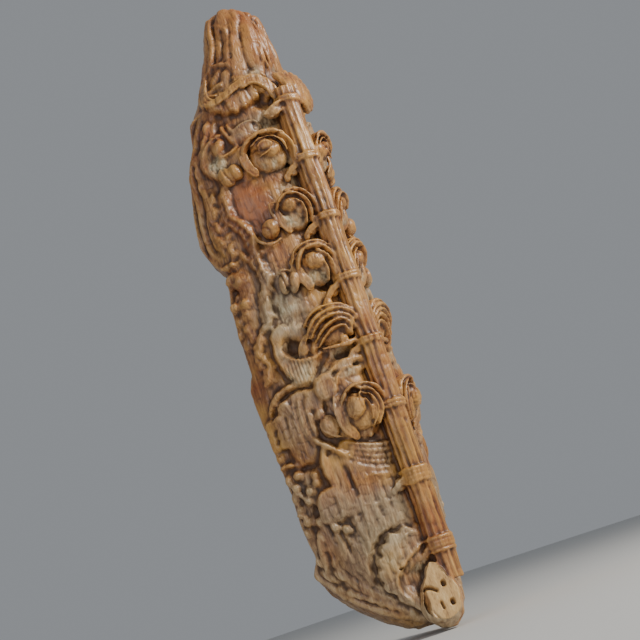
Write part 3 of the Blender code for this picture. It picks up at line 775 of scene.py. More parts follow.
def wing_ground(g):
    """A folded wing: a cluster of short feathers over long slats, and square tiles behind them."""
    g.face(((47, -176), (56, -174), (63, -182), (69, -194), (68, -240), (66, -278), (61, -292),
            (56.5, -295), (52, -286), (47.5, -262), (45.5, -220)), 4.5, 4)
    for angle, head, foot, wide in ((48.5, -196, -258, 4.5), (52.4, -192, -276, 4.8),
            (56.4, -196, -288, 4.8), (60.4, -206, -284, 4.8), (64.2, -214, -276, 4.6)):
        g.ribbon(((angle, head, 7, wide * 0.7), (angle + 0.6, head - 24, 10, wide),
                (angle + 0.6, (head + foot) / 2 - 8, 9, wide), (angle - 0.4, foot, 4, wide * 0.45)),
                fall=3, keel=0.6, tilt=1.2)
    for row in range(3):
        for number in range(3):
            g.mound(60.5 + 2.6 * number - row, -188 - 8 * row, 4, 7, 12 - 1.5 * row, -16, fall=4)
    g.ribbon(((45, -168, 6, 3), (52, -165, 9, 5), (60, -170, 10, 6), (67, -180, 10, 6),
            (72, -196, 7, 5)), fall=4)
    g.groove(((43, -176), (56, -174), (62.5, -182), (68, -193), (71, -208)), 3.6, 9)
    for left, low, high in ((67.6, -224, -206), (75, -226, -208), (68, -242, -228), (76, -244, -230),
            (68, -257, -245), (76, -259, -247)):
        g.face(((left - 3.2, low), (left + 3.2, low - 1), (left + 3.4, high), (left - 3, high + 1)), 8.5, 2)
    g.groove(((80, -262), (75, -259), (69, -261)), 1.6, 3)
    g.mound(76.5, -271, 11, 9, 9, fall=6)
    g.mound(84, -230, 8, 14, 6)
    g.mound(84, -262, 8, 14, 6)


def hem_ground(g):
    """The hem of the torso, cut in low rows, under the edge of a curling leaf."""
    g.face(((4, -292), (14, -300), (26, -292), (36, -276), (41, -284), (46, -292), (46, -352),
            (32, -360), (6, -364)), 5.5, 5)
    for row in range(4):
        shift = -9.5 * row
        g.ribbon(((6, -300 + shift, 8 - row, 5), (16, -300 + shift, 8.5 - row, 5.2),
                (26, -292 + shift, 8.5 - row, 5.2), (34, -280 + shift * 0.9, 7 - row, 4.4)), fall=1.8)
        for number in range(7):
            angle = 8 + 3.8 * number + 1.9 * (row % 2)
            drop = -300 + shift + max(0, angle - 16) ** 1.6 * 0.2
            g.groove(((angle, drop + 4), (angle + 0.5, drop - 4)), 1.4, 2.8)
    for row in range(5):
        low = -295 - 9.5 * row
        g.groove(((5, low), (16, low), (26, low + 8), (35, low + 20 + row)), 1.7, 4)
    g.ribbon(((52, -255, 6, 3), (50, -262, 11, 4), (47.5, -271, 13, 4.4), (44.5, -279, 13, 4.4),
            (40, -292, 12, 4), (35, -304, 8, 3)), fall=3)
    g.ribbon(((47, -276, 7, 4), (49, -296, 11, 6.5), (49.5, -318, 11, 6.5), (49, -340, 6, 3)), fall=5,
            keel=0.8, veins=6)
    g.ribbon(((31, -346, 7, 1.8), (27, -343, 9, 2), (20, -348, 8, 2), (8, -352, 6, 1.8)), fall=1)
    g.groove(((39.5, -318), (38.5, -340), (37.5, -368)), 2.2, 6)


def drapery_ground(g):
    """The hanging cloth, worn nearly flat: a plain block at its side and long shallow folds."""
    g.face(((2, -352), (20, -356), (33, -352), (44, -342), (46.5, -400), (44, -450), (38, -452),
            (28, -440), (20, -440), (4, -462)), (5, 0.02, 0.0), 6)
    g.face(((46, -346), (55, -343), (60, -352), (62, -372), (61, -394), (50, -397), (46.5, -394)), 8, 3)
    g.ribbon(((57.5, -350, 10, 2.2), (59, -372, 10.5, 2.4), (57.5, -391, 9.5, 2.2)), fall=2)
    for angle, top, foot, wide, lift in ((10, -362, -462, 6, 6.8), (17, -358, -440, 7, 7),
            (24.5, -356, -438, 7, 7.6), (31, -372, -446, 5, 6.8), (37, -360, -446, 7, 7.4),
            (43.5, -404, -480, 5.5, 6), (48, -424, -512, 6, 5), (53, -420, -520, 6, 5.4),
            (58, -410, -516, 6, 5), (63, -398, -508, 6, 4.6), (68, -400, -500, 5, 3.6)):
        sway = 0.8 * math.sin(2.1 * angle)
        g.ribbon(((angle, top, lift - 2, wide * 0.5), (angle + sway, (top * 2 + foot) / 3, lift, wide),
                (angle - sway, (top + foot * 2) / 3, lift - 0.6, wide),
                (angle, foot, lift - 3, wide * 0.5)), fall=1.2)
    for spots in (((13.5, -366), (14.5, -440)), ((21, -362), (21, -436)), ((28.5, -376), (28, -440)),
            ((34, -370), (34, -430)), ((40.5, -376), (41, -440)), ((45.5, -410), (46, -500)),
            ((50.5, -424), (50.5, -510)), ((55.5, -424), (56, -512))):
        g.groove(spots, 1.1, 1.0)
    g.groove(((47.5, -400), (43.5, -397.5), (38.5, -397)), 1.4, 4)
    for angle, height in ((56.5, -405), (51, -414)):
        turns = np.linspace(0, 6.28, 9)
        g.groove([(angle + 4.2 * math.sin(k), height + 10.5 * math.cos(k)) for k in turns], 1.6, 3)
        g.mound(angle, height, 7.4, 7.8, 10, fall=4)
    g.hollow(52, -330, 9, 14, 3)
    g.ribbon(((8, -390, 7, 2), (20, -392, 8, 2), (33, -388, 8, 2), (44, -380, 7, 2)), fall=1)


def foliage_ground(g):
    """Small knobs and curled leaves along the lower back edge."""
    g.hollow(60, -300, 24, 8, 6)
    g.hollow(64.5, -370, 9, 14, 8)
    g.hollow(69, -398, 9, 10, 5)
    knobs = ((67, -307, 7.5, 8, 11), (57, -316, 7, 8, 10), (57.5, -328, 7, 7, 10),
            (62.5, -337, 8, 8, 11), (74, -312, 8, 10, 10), (80, -322, 9, 12, 9), (71, -326, 7, 9, 10),
            (74, -342, 8, 10, 10), (66, -350, 7, 8, 9), (80, -352, 8, 12, 8), (73, -360, 7, 8, 10),
            (71, -382, 8, 8, 10), (79, -384, 8, 12, 8), (64, -388, 6, 7, 8), (75, -400, 7, 9, 9),
            (82, -414, 8, 12, 7), (68, -412, 6, 8, 8), (66, -432, 7, 10, 6), (80, -446, 8, 12, 8),
            (69, -456, 7, 12, 6), (82, -474, 9, 14, 6), (73, -478, 8, 12, 6), (64, -468, 6, 14, 5))
    for number, (angle, height, across, up, top) in enumerate(knobs):
        g.mound(angle, height, across, up, top, 30 * math.sin(2.7 * number), fall=6)
    g.ribbon(((68, -404, 5, 3), (70, -418, 9, 5), (73, -438, 10, 6), (76, -458, 8, 5), (80, -470, 5, 3)),
            fall=4, keel=1)
    g.ribbon(((84, -284, 4, 3), (88, -312, 7, 5), (88, -356, 8, 5), (88, -400, 7, 5), (89, -450, 6, 4)),
            fall=4, strands=2)
    g.ribbon(((66, -290, 5, 2.4), (72, -286, 9, 4), (80, -292, 9, 4.6), (85, -306, 6, 4)), fall=3)
    g.ribbon(((78, -336, 5, 2), (72, -334, 9, 3), (68, -342, 9, 3), (68, -352, 6, 2)), fall=2)
    g.ribbon(((82, -366, 6, 2.4), (76, -368, 10, 3.4), (71, -374, 9, 3), (70, -384, 6, 2)), fall=2)
    for number in range(20):
        g.mound(95 - 0.2 * number, -286 - 10.5 * number, 6, 7, 8 + math.sin(1.9 * number), fall=5)


def foot_rim_ground(g):
    """The rounded rim along the lower edge, and the low panels over it."""
    g.ribbon(((92, -452, 6, 7), (91, -490, 8, 9), (88, -524, 9, 11), (80, -552, 9, 11), (66, -572, 7, 9),
            (50, -582, 5, 7)), fall=6)
    g.ribbon(((70, -480, 3, 6), (68, -506, 5, 9), (62, -534, 5, 10), (54, -556, 4, 8)), fall=4, strands=2)
    for number in range(8):
        g.mound(84 - 3.6 * number, -500 - 9.5 * number, 6, 9, 8, 40, fall=5)


def shell_ground(g):
    """The scalloped leaf round the foot: a broad face with a lobed edge, a thin rim and a hollow disc."""
    edge = ((4, -452), (13, -446), (23, -444), (30, -448), (34.5, -457), (39, -469), (43, -482),
            (47, -497), (50, -514), (50, -532), (46, -548), (38, -562), (26, -572))
    g.groove([(a + 4, h + 6) for a, h in edge[1:10]], 4.6, 10)
    g.face(edge + ((8, -576), (2, -540), (2, -490)), (10, 0, 0.02), 4)
    for angle, height in trace(edge, 21):
        g.mound(angle - 1.5, height - 4, 12, 12.5, 11, fall=1.6)
    inner = ((6, -461), (11, -467), (17, -474), (24, -482), (31, -491), (37.5, -502), (43, -515),
            (47, -530), (47, -550))
    g.hollow(24, -528, 40, 40, 13)
    g.ribbon([(a, h, 14.5, 2.2) for a, h in inner], fall=1.5)
    g.ribbon(((12, -456, 12, 2), (17, -448, 15, 3), (22, -452, 15, 3), (20, -462, 12, 2)), fall=2)
    g.groove([(a - 3.5, h - 2) for a, h in inner[1:]], 2.2, 3)


def hollowed_grounds(g):
    """The grounds between the forms, which the carver took deeper."""
    for oval in ((14, 222, 28, 15, 8), (12, 104, 24, 12, 8), (13, -14, 24, 14, 8), (16, -140, 26, 13, 8),
            (36, 196, 36, 24, 3), (44, 110, 20, 60, 3), (44, 20, 22, 50, 3), (46, -45, 22, 24, 4),
            (46, 322, 60, 20, 5), (16, 306, 24, 18, 6), (8, 180, 12, 30, 4), (8, 62, 12, 26, 4),
            (36, -60, 30, 14, 4)):
        g.hollow(*oval)


# what stands high off the skin, on one side

def leaf_tail(forms, height, long, knob):
    """The small leaf that hangs from a band beside the stem."""
    forms.band(((4, height + 1, 24, 3), (9, height - 6, 21, 3.4), (14, height - 14, 15, 3.4),
            (17 + long / 16, height - 20 - long / 3, 8, 2.4)), 2, 4.6)
    forms.egg(12, height - 14, 9, (9, 11, 7), 30)
    forms.egg(16 + long / 16, height - 22 - long / 3, 6, (knob, knob * 1.2, knob), 30)


def first_scroll(forms):
    """The broad scroll: a swirled bulb under a thin high lip, and a ribbed band round its lower left."""
    forms.egg(24, 236, 0, (36, 30, 18), -8)
    forms.egg(25.5, 246, 9, (29, 21, 22), 24)
    forms.egg(19, 230, 4, (17, 20, 16))
    forms.rib(((31.6, 238, 29, 2.6), (31.5, 248, 31, 3), (27.5, 254, 31, 3.2), (24, 246, 32, 3.4),
            (26, 236, 30, 3.4), (31.4, 229, 26, 3)))
    forms.rib(((41, 244, 18, 3), (39.7, 252, 25, 4), (34.7, 264, 31, 4.4), (28.8, 270, 33, 4.6),
            (20.7, 268, 34, 4.6), (14.3, 255, 33, 4.6), (11, 234, 30, 4.4), (11, 214, 25, 4)), slim=0.85)
    forms.wall(((40, 246, 17, 4), (39, 253, 25, 4.6), (34.4, 264, 31, 5), (28.8, 270, 33, 5),
            (20.7, 268, 34, 5), (14.3, 255, 33, 5), (11, 234, 30, 5), (11, 214, 24, 4)), 14)
    forms.rib(((35.3, 251, 26, 2.6), (30, 260, 31, 2.8), (22.2, 259, 32, 2.8), (17, 247, 31, 2.6),
            (15, 232, 27, 2.2)))
    forms.band(((40.3, 258, 12, 2.6), (40.8, 240, 16, 3.2), (39.2, 222, 15, 3.2), (35.7, 207, 9, 2.4)), 3, 5)
    forms.egg(54, 220, 4, (14, 19, 12), -24)
    forms.egg(47.5, 223, 6, (12, 16, 12), -10)


def second_scroll(forms):
    """The golden egg with thin ribs that run into the stem, over a bowl."""
    forms.egg(20, 120, 0, (31, 31, 17))
    forms.egg(22.6, 136, 13, (17, 16, 18), 12)
    forms.egg(17, 126, 8, (14, 20, 17), 10)
    forms.lip(((30, 134, 24, 3), (28.4, 142, 31, 3.8), (24.7, 149, 34, 4), (19.2, 147, 35, 4),
            (14.3, 136, 34, 4), (11.8, 119, 30, 3.8), (11.8, 101, 23, 3)))
    forms.lip(((24, 157, 30, 3), (17, 156, 33, 3.8), (11, 142, 33, 4), (8, 122, 30, 4), (7.4, 98, 24, 3.2)))
    forms.lip(((20.5, 139, 31, 2.6), (17, 130, 31, 3), (15.6, 115, 28, 3), (15.8, 100, 21, 2.6)))
    forms.band(((31.6, 144, 11, 2.6), (31.6, 126, 15, 3.2), (29.6, 109, 14, 3.2), (25.9, 93, 8, 2.4)), 3, 5)
    forms.egg(37, 103, 7, (16, 18, 16), 14)
    forms.rib(((47, 106, 4, 3), (46, 91, 8, 4), (42.4, 80, 11, 4.4), (38, 76, 11, 4.2), (33, 82, 8, 3)),
            slim=0.9)


def third_scroll(forms):
    """The bulb with a thin lid round it, and a split bud like a bean."""
    forms.egg(18, 18, 0, (31, 34, 17))
    forms.egg(19, 27, 11, (21, 18, 21), 12)
    forms.egg(14, 14, 6, (14, 19, 17))
    forms.lip(((29.4, 22, 22, 3), (28.3, 33, 29, 3.8), (25.5, 44, 33, 4), (21.2, 49, 35, 4.2),
            (15.6, 48, 35, 4.2), (10.4, 38, 33, 4.2), (6.4, 22, 30, 4), (4, 0, 24, 3.2)))
    forms.lip(((17, 40, 31, 2.8), (12.6, 29, 32, 3.2), (10, 12, 29, 3.2), (9.4, -8, 22, 2.6)))
    forms.lip(((16, 25, 28, 2.4), (13.8, 10, 26, 2.8), (13.5, -8, 18, 2.4)))
    forms.lip(((31.5, 33, 20, 2.6), (28.6, 50, 27, 3.2), (22.5, 57, 31, 3.4), (15, 56, 32, 3.4),
            (8.6, 46, 30, 3)))
    forms.band(((30.6, 36, 11, 2.6), (30, 17, 15, 3.2), (28, -1, 14, 3.2), (25, -16, 8, 2.4)), 3, 5)
    forms.egg(39, 5, 6, (9.5, 20, 14), 12)
    forms.egg(33.6, 2, 7, (9.5, 19, 15), 12)
    forms.rib(((42, 22, 9, 2.4), (38, 26, 13, 3), (33.4, 20, 12, 2.4)), slim=0.9)


def great_scroll(forms):
    """The large combed scroll: fine arcs over a bulb, with a knob, a bud and a knotted lip below."""
    forms.lip(((37, -100, 18, 3), (34.7, -89, 27, 3.6), (30.8, -76, 33, 4), (24.7, -68, 36, 4.2),
            (17.2, -68, 37, 4.2), (10.2, -78, 35, 4.2), (6.4, -96, 30, 3.8), (5.6, -112, 22, 3)))
    forms.lip(((34.4, -101, 22, 3), (31.6, -90, 29, 3.6), (26.6, -79, 33, 3.8), (18.6, -76, 34, 4),
            (12, -85, 33, 4), (9.4, -102, 28, 3.4)))
    forms.lip(((33, -110, 20, 3), (29, -98, 27, 3.4), (23.6, -88, 31, 3.6), (17, -85, 32, 3.8),
            (12.6, -94, 30, 3.6), (11.6, -111, 24, 3)))
    forms.lip(((31.6, -118, 17, 2.8), (27.4, -107, 23, 3.2), (21.4, -97, 27, 3.4), (16, -96, 27, 3.4),
            (13, -108, 24, 3)))
    forms.lip(((36, -78, 20, 2.8), (31.5, -65, 28, 3.4), (23, -58, 32, 3.6), (14, -62, 32, 3.6),
            (7.6, -74, 30, 3)))
    forms.egg(20, -96, 0, (36, 27, 19), -8)
    forms.egg(27, -88, 8, (15, 14, 16), 20)
    forms.egg(8, -88, 29, (6, 6, 6))
    forms.rib(((30, -124, 11, 3), (23, -126, 16, 4.2), (15, -126, 18, 4.4), (8, -119, 18, 3.4)), slim=1)
    forms.egg(17, -116, 12, (9, 8, 8))
    forms.egg(39.6, -112, 4, (9, 17, 12), 24)
    forms.egg(34.4, -115, 5, (8, 15, 12), 20)
    forms.rib(((44, -122, 6, 2.4), (42, -108, 12, 2.8), (38.5, -97, 15, 3), (35.5, -92, 14, 2.4)), slim=0.9)


def fifth_scroll(forms):
    """The long golden bulb beside a ribbed shell, over three strands."""
    forms.egg(20, -236, 9, (36, 37, 19))
    forms.egg(24.3, -233, 17, (18, 24, 23), 18)
    forms.egg(14, -238, 16, (16, 30, 18), 6)
    forms.lip(((31.5, -226, 24, 3), (29.4, -215, 32, 3.8), (25.4, -203, 36, 4), (19.1, -200, 38, 4.2),
            (12, -208, 38, 4.2), (8.1, -225, 35, 4), (7.6, -248, 28, 3.4)))
    forms.lip(((21, -206, 34, 2.8), (15.6, -212, 38, 3.2), (11.6, -230, 37, 3.4), (11, -250, 32, 3.2),
            (13.5, -266, 25, 2.8)))
    forms.lip(((20, -214, 34, 2.6), (16.6, -221, 37, 3), (14.2, -236, 36, 3.2), (14.2, -254, 31, 3),
            (17, -268, 24, 2.6)))
    forms.lip(((18.6, -226, 33, 2.4), (17, -240, 34, 2.8), (17.4, -256, 29, 2.6)))
    forms.lip(((27.5, -246, 33, 2.2), (25.6, -233, 40, 2.6), (23, -222, 40, 2.6), (21, -214, 36, 2.2)))
    forms.band(((31.6, -210, 18, 2.6), (33, -226, 23, 3.2), (33.2, -245, 23, 3.4), (31.6, -264, 19, 3.2),
            (27.5, -279, 12, 2.4)), 3, 5.2)
    forms.egg(39.9, -249, 6, (17, 19, 14), -20)
    forms.rib(((45, -240, 10, 2.6), (44, -254, 15, 3), (40, -266, 14, 3), (35, -272, 9, 2.4)))


def collar_rib(forms):
    """The combed rib of the collar, which sweeps round and curls up at the back."""
    forms.band(((7.4, 330, 16, 2.6), (8.7, 345, 18, 3), (12.7, 365, 19, 3.2), (19.2, 380, 19, 3.2),
            (26.5, 386, 18, 3.2), (34.3, 383, 18, 3.2), (41.9, 376, 18, 3.2), (49.1, 368, 17, 3),
            (56.2, 363, 16, 3), (63, 366, 15, 3), (69.1, 376, 14, 3), (75.9, 396, 11, 2.8),
            (80.7, 419, 8, 2.4)), 3, 4.8)
    forms.rib(((34.8, 371, 17, 3), (27.4, 375, 20, 3.4), (20.3, 369, 20, 3.4), (15.2, 357, 19, 3.4),
            (12, 343, 16, 3)), slim=0.9)


def fan(forms):
    """The fan of ribs at the right of the bud's foot."""
    forms.egg(-20, 352, 9, (31, 37, 28))
    tips = np.array(((-2, 386, 17), (-12, 391, 22), (-22, 388, 27), (-30, 380, 30), (-35, 366, 31),
            (-36, 350, 30), (-32, 334, 27), (-24, 320, 23)), dtype=float)
    for along in np.linspace(0, len(tips) - 1, FAN_RIBS):
        angle, height, lift = (np.interp(along, range(len(tips)), tips[:, k]) for k in range(3))
        middle = ((-5 + angle) / 2, (331 + height) / 2, (33 + lift) / 2 + 3, 5.6)
        forms.rib(((-5, 331, 30, 4), middle, (angle, height, lift - 1, 7.4)), slim=1)


def knot(forms):
    """The knot over the stem's first band, with its leaf."""
    forms.egg(13, BANDS[0] - 12, 15, (25, 12, 14), -25)
    forms.egg(-1, BANDS[0] - 2, 33, (8, 8, 8))
    forms.rib(((-8, BANDS[0] - 3, 33, 4), (2.6, BANDS[0] + 1, 35, 4.6), (13, BANDS[0] - 5, 30, 4.6),
            (22.8, BANDS[0] - 20, 21, 4)), slim=0.9)
    forms.rib(((0, BANDS[0] - 9, 34, 3.4), (9, BANDS[0] - 16, 28, 3.8), (18, BANDS[0] - 26, 20, 3.2)),
            slim=0.9)


def nose(forms):
    """The blunt end of the stem at the foot, with the narrower neck above it."""
    forms.egg(NOSE_ANGLE, NOSE_HEIGHT, NOSE_LIFT, (33, 45, 34))
    forms.egg(NOSE_ANGLE + 10, NOSE_HEIGHT - 10, NOSE_LIFT + 4, (24, 30, 26), -20)
    forms.egg(NOSE_ANGLE - 4, NOSE_HEIGHT + 26, NOSE_LIFT + 6, (17, 34, 26))


def make_object(name, spots, faces):
    """A new mesh object, from spots in millimetres."""
    data = bpy.data.meshes.new(name)
    data.from_pydata((spots / 1000).tolist(), [], faces)
    data.update()
    thing = bpy.data.objects.new(name, data)
    bpy.context.scene.collection.objects.link(thing)
    only_selected(thing)
    return thing


def carve():
    """All the forms as one block, merged by a voxel remesh."""
    skin_ground = Ground()
    hollowed_grounds(skin_ground)
    for motif in (foot_rim_ground, drapery_ground, torso_ground, hem_ground, wing_ground, foliage_ground,
            shell_ground, crescent_ground, volute_ground, flange_ground, garland_ground, cup_ground,
            collar_leaf, bud_petals):
        motif(skin_ground)
    skin_ground.mirrored()
    bud_front(skin_ground)
    skin_ground.softened(2)
    forms = Forms()
    forms.add(*skin_ground.wrapped())
    stem(forms)
    for side in (1, -1):
        forms.side = side
        for motif in (first_scroll, second_scroll, third_scroll, great_scroll, fifth_scroll, collar_rib):
            motif(forms)
        for height, (long, knob) in zip(BANDS[1:], LEAVES):
            leaf_tail(forms, height, long, knob)
    forms.side = 1
    for motif in (fan, knot, nose):
        motif(forms)
    block = make_object("block", drawn_in(np.vstack(forms.spots)), forms.faces)
    merge = block.modifiers.new("merge", "REMESH")
    merge.mode = "VOXEL"
    merge.voxel_size = VOXEL / 1000
    merge.adaptivity = 0.0
    bpy.ops.object.modifier_apply(modifier="merge")
    return block


def mesh_arrays(data):
    """A mesh's vertices in millimetres, its edges and its vertices' normals."""
    spots = read(data.vertices, "co", 3) * 1000
    return spots, read(data.edges, "vertices", 2, np.int64), read(data.vertices, "normal", 3)


class Skin:
    """The block's vertices, with the sums over neighbours that smooth them."""

    def __init__(self, block):
        self.spots, edges, self.normals = mesh_arrays(block.data)
        self.left = np.concatenate((edges[:, 0], edges[:, 1]))
        self.right = np.concatenate((edges[:, 1], edges[:, 0]))
        self.degree = np.maximum(np.bincount(self.left, minlength=len(self.spots)), 1)

    def mean(self, values):
        """The mean of each vertex's neighbours."""
        if values.ndim == 1:
            return np.bincount(self.left, values[self.right], len(self.spots)) / self.degree
        return np.column_stack([self.mean(values[:, k]) for k in range(values.shape[1])])

    def noise(self, size, seed):
        """Smooth random values over the block, with lumps of a given width, depth and height."""
        return lattice_noise(self.spots, np.array(size), seed)

    def from_stem(self):
        """How far each vertex is from the stem's axis."""
        return np.hypot(self.spots[:, 0], self.spots[:, 1] - STEM_AXIS)

    def smooth(self, values, rounds, share=0.6):
        """Draws values towards their neighbours' mean, by a share each round."""
        for _ in range(rounds):
            values = values + share * (self.mean(values) - values)
        return values


def lattice_noise(points, size, seed):
    """Smooth random values between -1 and 1, on a lattice of three given sizes."""
    rng = np.random.default_rng(seed)
    table = rng.uniform(-1, 1, (41, 41, 41))
    scaled = points / size + 1000
    base = np.floor(scaled).astype(int)
    t = scaled - base
    t = t * t * (3 - 2 * t)
    base %= 40
    value = 0
    for corner in np.ndindex(2, 2, 2):
        x, y, z = ((base + corner) % 40).T
        near_x, near_y, near_z = np.where(corner, t, 1 - t).T
        value = value + near_x * near_y * near_z * table[x, y, z]
    return value


def nearness(angle, height, spots, width):
    """How near each vertex is to a line of spots, 1 on it and falling to 0 within a few widths."""
    line = trace(spots, 2.5)[:, :2] * (ARC, 1)
    across = angle * ARC
    left, low = line.min(axis=0) - 2.5 * width
    right, high = line.max(axis=0) + 2.5 * width
    found = np.flatnonzero((across > left) & (across < right) & (height > low) & (height < high))
    best = np.full(len(found), 1e9)
    for start, end in zip(line[:-1], line[1:]):
        way = end - start
        dx, dy = across[found] - start[0], height[found] - start[1]
        t = np.clip((dx * way[0] + dy * way[1]) / max(way @ way, 1e-9), 0, 1)
        best = np.minimum(best, (dx - t * way[0]) ** 2 + (dy - t * way[1]) ** 2)
    return found, np.exp(-best / width ** 2)


def patch(angle, height, centre, across, up, soft=0.35):
    """1 inside an oval patch on the skin, falling softly to 0 outside it."""
    d = np.sqrt(((angle - centre[0]) * ARC / across) ** 2 + ((height - centre[1]) / up) ** 2)
    return 1 / (1 + np.exp((d - 1) / soft * 4))


# creases cut in the bulbs, buds and leaves: spots of angle and height, width and depth
CREASES = (
    (((30, 265), (24, 258), (22, 246), (28, 238), (34, 244)), 2.2, 2.4),
    (((20, 262), (14, 258), (11, 248)), 2.0, 2.0),
    (((24, 146), (18, 140), (18, 128)), 2.0, 1.6),
    (((24, 44), (18, 36), (17, 22)), 2.0, 1.6),
    (((24, -206), (18, -218), (17, -236)), 2.0, 2.2),
    (((28, -208), (23, -222), (22, -240)), 2.0, 1.6),
    (((40, 18), (39, 2), (37.5, -16)), 1.8, 3.4),
    (((42, 110), (38, 98), (38, 84)), 1.8, 1.8),
    (((55, 236), (53, 220), (50, 204)), 1.8, 2.4),
)


def relief(skin_data):
    """Cuts the finer work into the merged skin: grooves, gouge marks and weathered grain."""
    skin_data.spots = skin_data.smooth(skin_data.spots, 3, 0.5)
    angle, height, lift = unrolled(skin_data.spots)
    normals = unit(skin_data.smooth(skin_data.normals, 2))
    cut = np.zeros(len(angle))
    for side in (1, -1):
        for spots, width, depth in CREASES:
            spots = [(side * a, h) for a, h in spots]
            found, near = nearness(angle, height, spots, width)
            cut[found] -= depth * near * step_up(lift[found], 4, 9)
    gouge = skin_data.noise((7.0, 7.0, 34.0), 11)
    fine = skin_data.noise((3.2, 3.2, 46.0), 12)
    lump = skin_data.noise((22.0, 22.0, 40.0), 13)
    dry = np.exp(-((np.abs(angle) - 34) / 30.0) ** 2) * step_up(-height, 335, 380)
    cut += (0.35 + 0.7 * dry) * gouge + (0.16 + 0.38 * dry) * fine + 0.8 * lump
    plain = patch(np.abs(angle), height, (48, 60), 40, 150)
    cut += 0.35 * plain * fine * (1 - step_up(lift, 3, 7))
    worn = 1 - step_up(skin_data.from_stem(), 23, 30)
    cut += 1.5 * np.abs(skin_data.noise((12.0, 12.0, 19.0), 14)) - 0.5
    horn = patch(np.abs(angle), height, (47, -145), 26, 22) * (1 - step_up(lift, 12, 16))
    cut -= 1.1 * horn * np.clip(np.cos(2 * np.pi * angle * ARC / 5.2), 0, 1)
    nick = skin_data.noise((9.0, 9.0, 14.0), 15)
    cut -= 0.9 * np.clip(1 - np.abs(nick) / 0.14, 0, 1) * (1 - 0.5 * worn)
    along_stem = 1.1 * skin_data.noise((4.5, 4.5, 60.0), 16) + 0.8 * skin_data.noise((9.0, 9.0, 18.0), 17)
    cut += worn * along_stem
    skin_data.spots = skin_data.spots + cut[:, None] * normals
    skin_data.spots = skin_data.smooth(skin_data.spots, 1, 0.35)
    return angle, height, lift


def within_box(spots):
    """Keeps every place inside the solids' box, and eases the bud's top on to its slant."""
    low, high = np.array(cad_box) * 1000
    spots = np.clip(spots, low + INSET, high + (-INSET, BEHIND_WALL, -INSET))
    top = BUD_TOP - BUD_SLANT * spots[:, 0]
    over = spots[:, 2] - top
    eased = top - BUD_EASE + BUD_EASE * np.tanh((over + BUD_EASE) / BUD_EASE)
    spots[:, 2] = np.where(over > -BUD_EASE, eased, spots[:, 2])
    return spots


def saw_face():
    """The middle and the outward direction of the sawn face at the nose."""
    dip = Matrix.Rotation(math.radians(90 + NOSE_DIP), 3, "X")
    facing = Matrix.Rotation(math.radians(NOSE_TURN), 3, "Z") @ dip
    middle = Vector(place(NOSE_ANGLE, NOSE_HEIGHT, NOSE_LIFT)) + facing @ Vector((0, 0, NOSE_CUT))
    return np.array(middle), np.array(facing)


def saw_nose(skin_data):
    """Presses what stands past the saw cut back on to its plane, and sinks the nail holes and the split."""
    middle, facing = saw_face()
    rel = (skin_data.spots - middle) @ facing
    inside = (np.abs(rel[:, 0]) < SAW_REACH[0]) & (np.abs(rel[:, 1]) < SAW_REACH[1]) & (rel[:, 2] > -1)
    inside &= (skin_data.from_stem() > STEM_RADIUS + 2) | (skin_data.spots[:, 2] < STEM_FOOT - 8)
    rough = skin_data.noise((9.0, 9.0, 26.0), 21)
    past = FACE_EDGE - 0.12 * np.abs(rel[:, 1] + 4) + 2.5 * rough - rel[:, 0]
    flat = np.zeros(len(rel))
    flat[inside] = (1 - step_up(past, -1, 2))[inside]
    rel[inside, 2] = np.minimum(rel[inside, 2], (rough * 0.9 - 1.1 * np.clip(past, 0, 30))[inside])
    for x, y in NAILS:
        d = (np.abs(rel[:, 0] - x) ** 3 + np.abs((rel[:, 1] - y) * 0.75) ** 3) ** (1 / 3)
        hole = inside & (d < 6)
        rel[hole, 2] -= NAIL_DEPTH * (1 - step_up(d[hole], 2.0, 4.6))
    for x0, y0, x1, y1, bow, wide, deep in SPLITS:
        dx, dy = x1 - x0, y1 - y0
        t = np.clip(((rel[:, 0] - x0) * dx + (rel[:, 1] - y0) * dy) / (dx ** 2 + dy ** 2), 0, 1)
        d = np.hypot(rel[:, 0] - x0 - t * dx, rel[:, 1] - y0 - t * dy - bow * np.sin(np.pi * t))
        rel[inside, 2] -= deep * np.exp(-(d[inside] / wide) ** 2)
    skin_data.spots[inside] = rel[inside] @ facing.T + middle
    return flat


# patches of the skin, the same on both sides: middle, half width, half height and how strong
DUSTY = (
    ((22, 219), 36, 13, 1.0),
    ((19, 108), 28, 14, 1.0),
    ((17, -2), 30, 14, 1.0),
    ((7, 190), 16, 16, 0.9),
    ((7, 80), 16, 16, 0.9),
    ((14, 172), 24, 14, 0.6),
    ((14, 300), 40, 22, 0.7),
    ((58, 246), 16, 18, 1.0),
    ((44, -150), 30, 20, 0.75),
    ((48, -112), 24, 20, 0.5),
    ((16, -140), 30, 16, 0.5),
    ((22, -166), 34, 14, 0.7),
    ((14, 400), 40, 18, 0.8),
    ((42, -26), 26, 20, 0.7),
    ((42, -60), 40, 26, 0.4),
    ((26, -448), 60, 70, 0.25),
    ((30, -512), 40, 50, 0.35),
)
GREYED = (
    ((46, -26), 40, 60, 0.75),
    ((30, 300), 50, 24, 0.6),
    ((48, -230), 62, 60, 0.4),
    ((20, -315), 50, 30, 0.5),
)
# how often the skin is smoothed to find its fine, broad and wide bends
BEND_ROUNDS = (6, 26, 80)


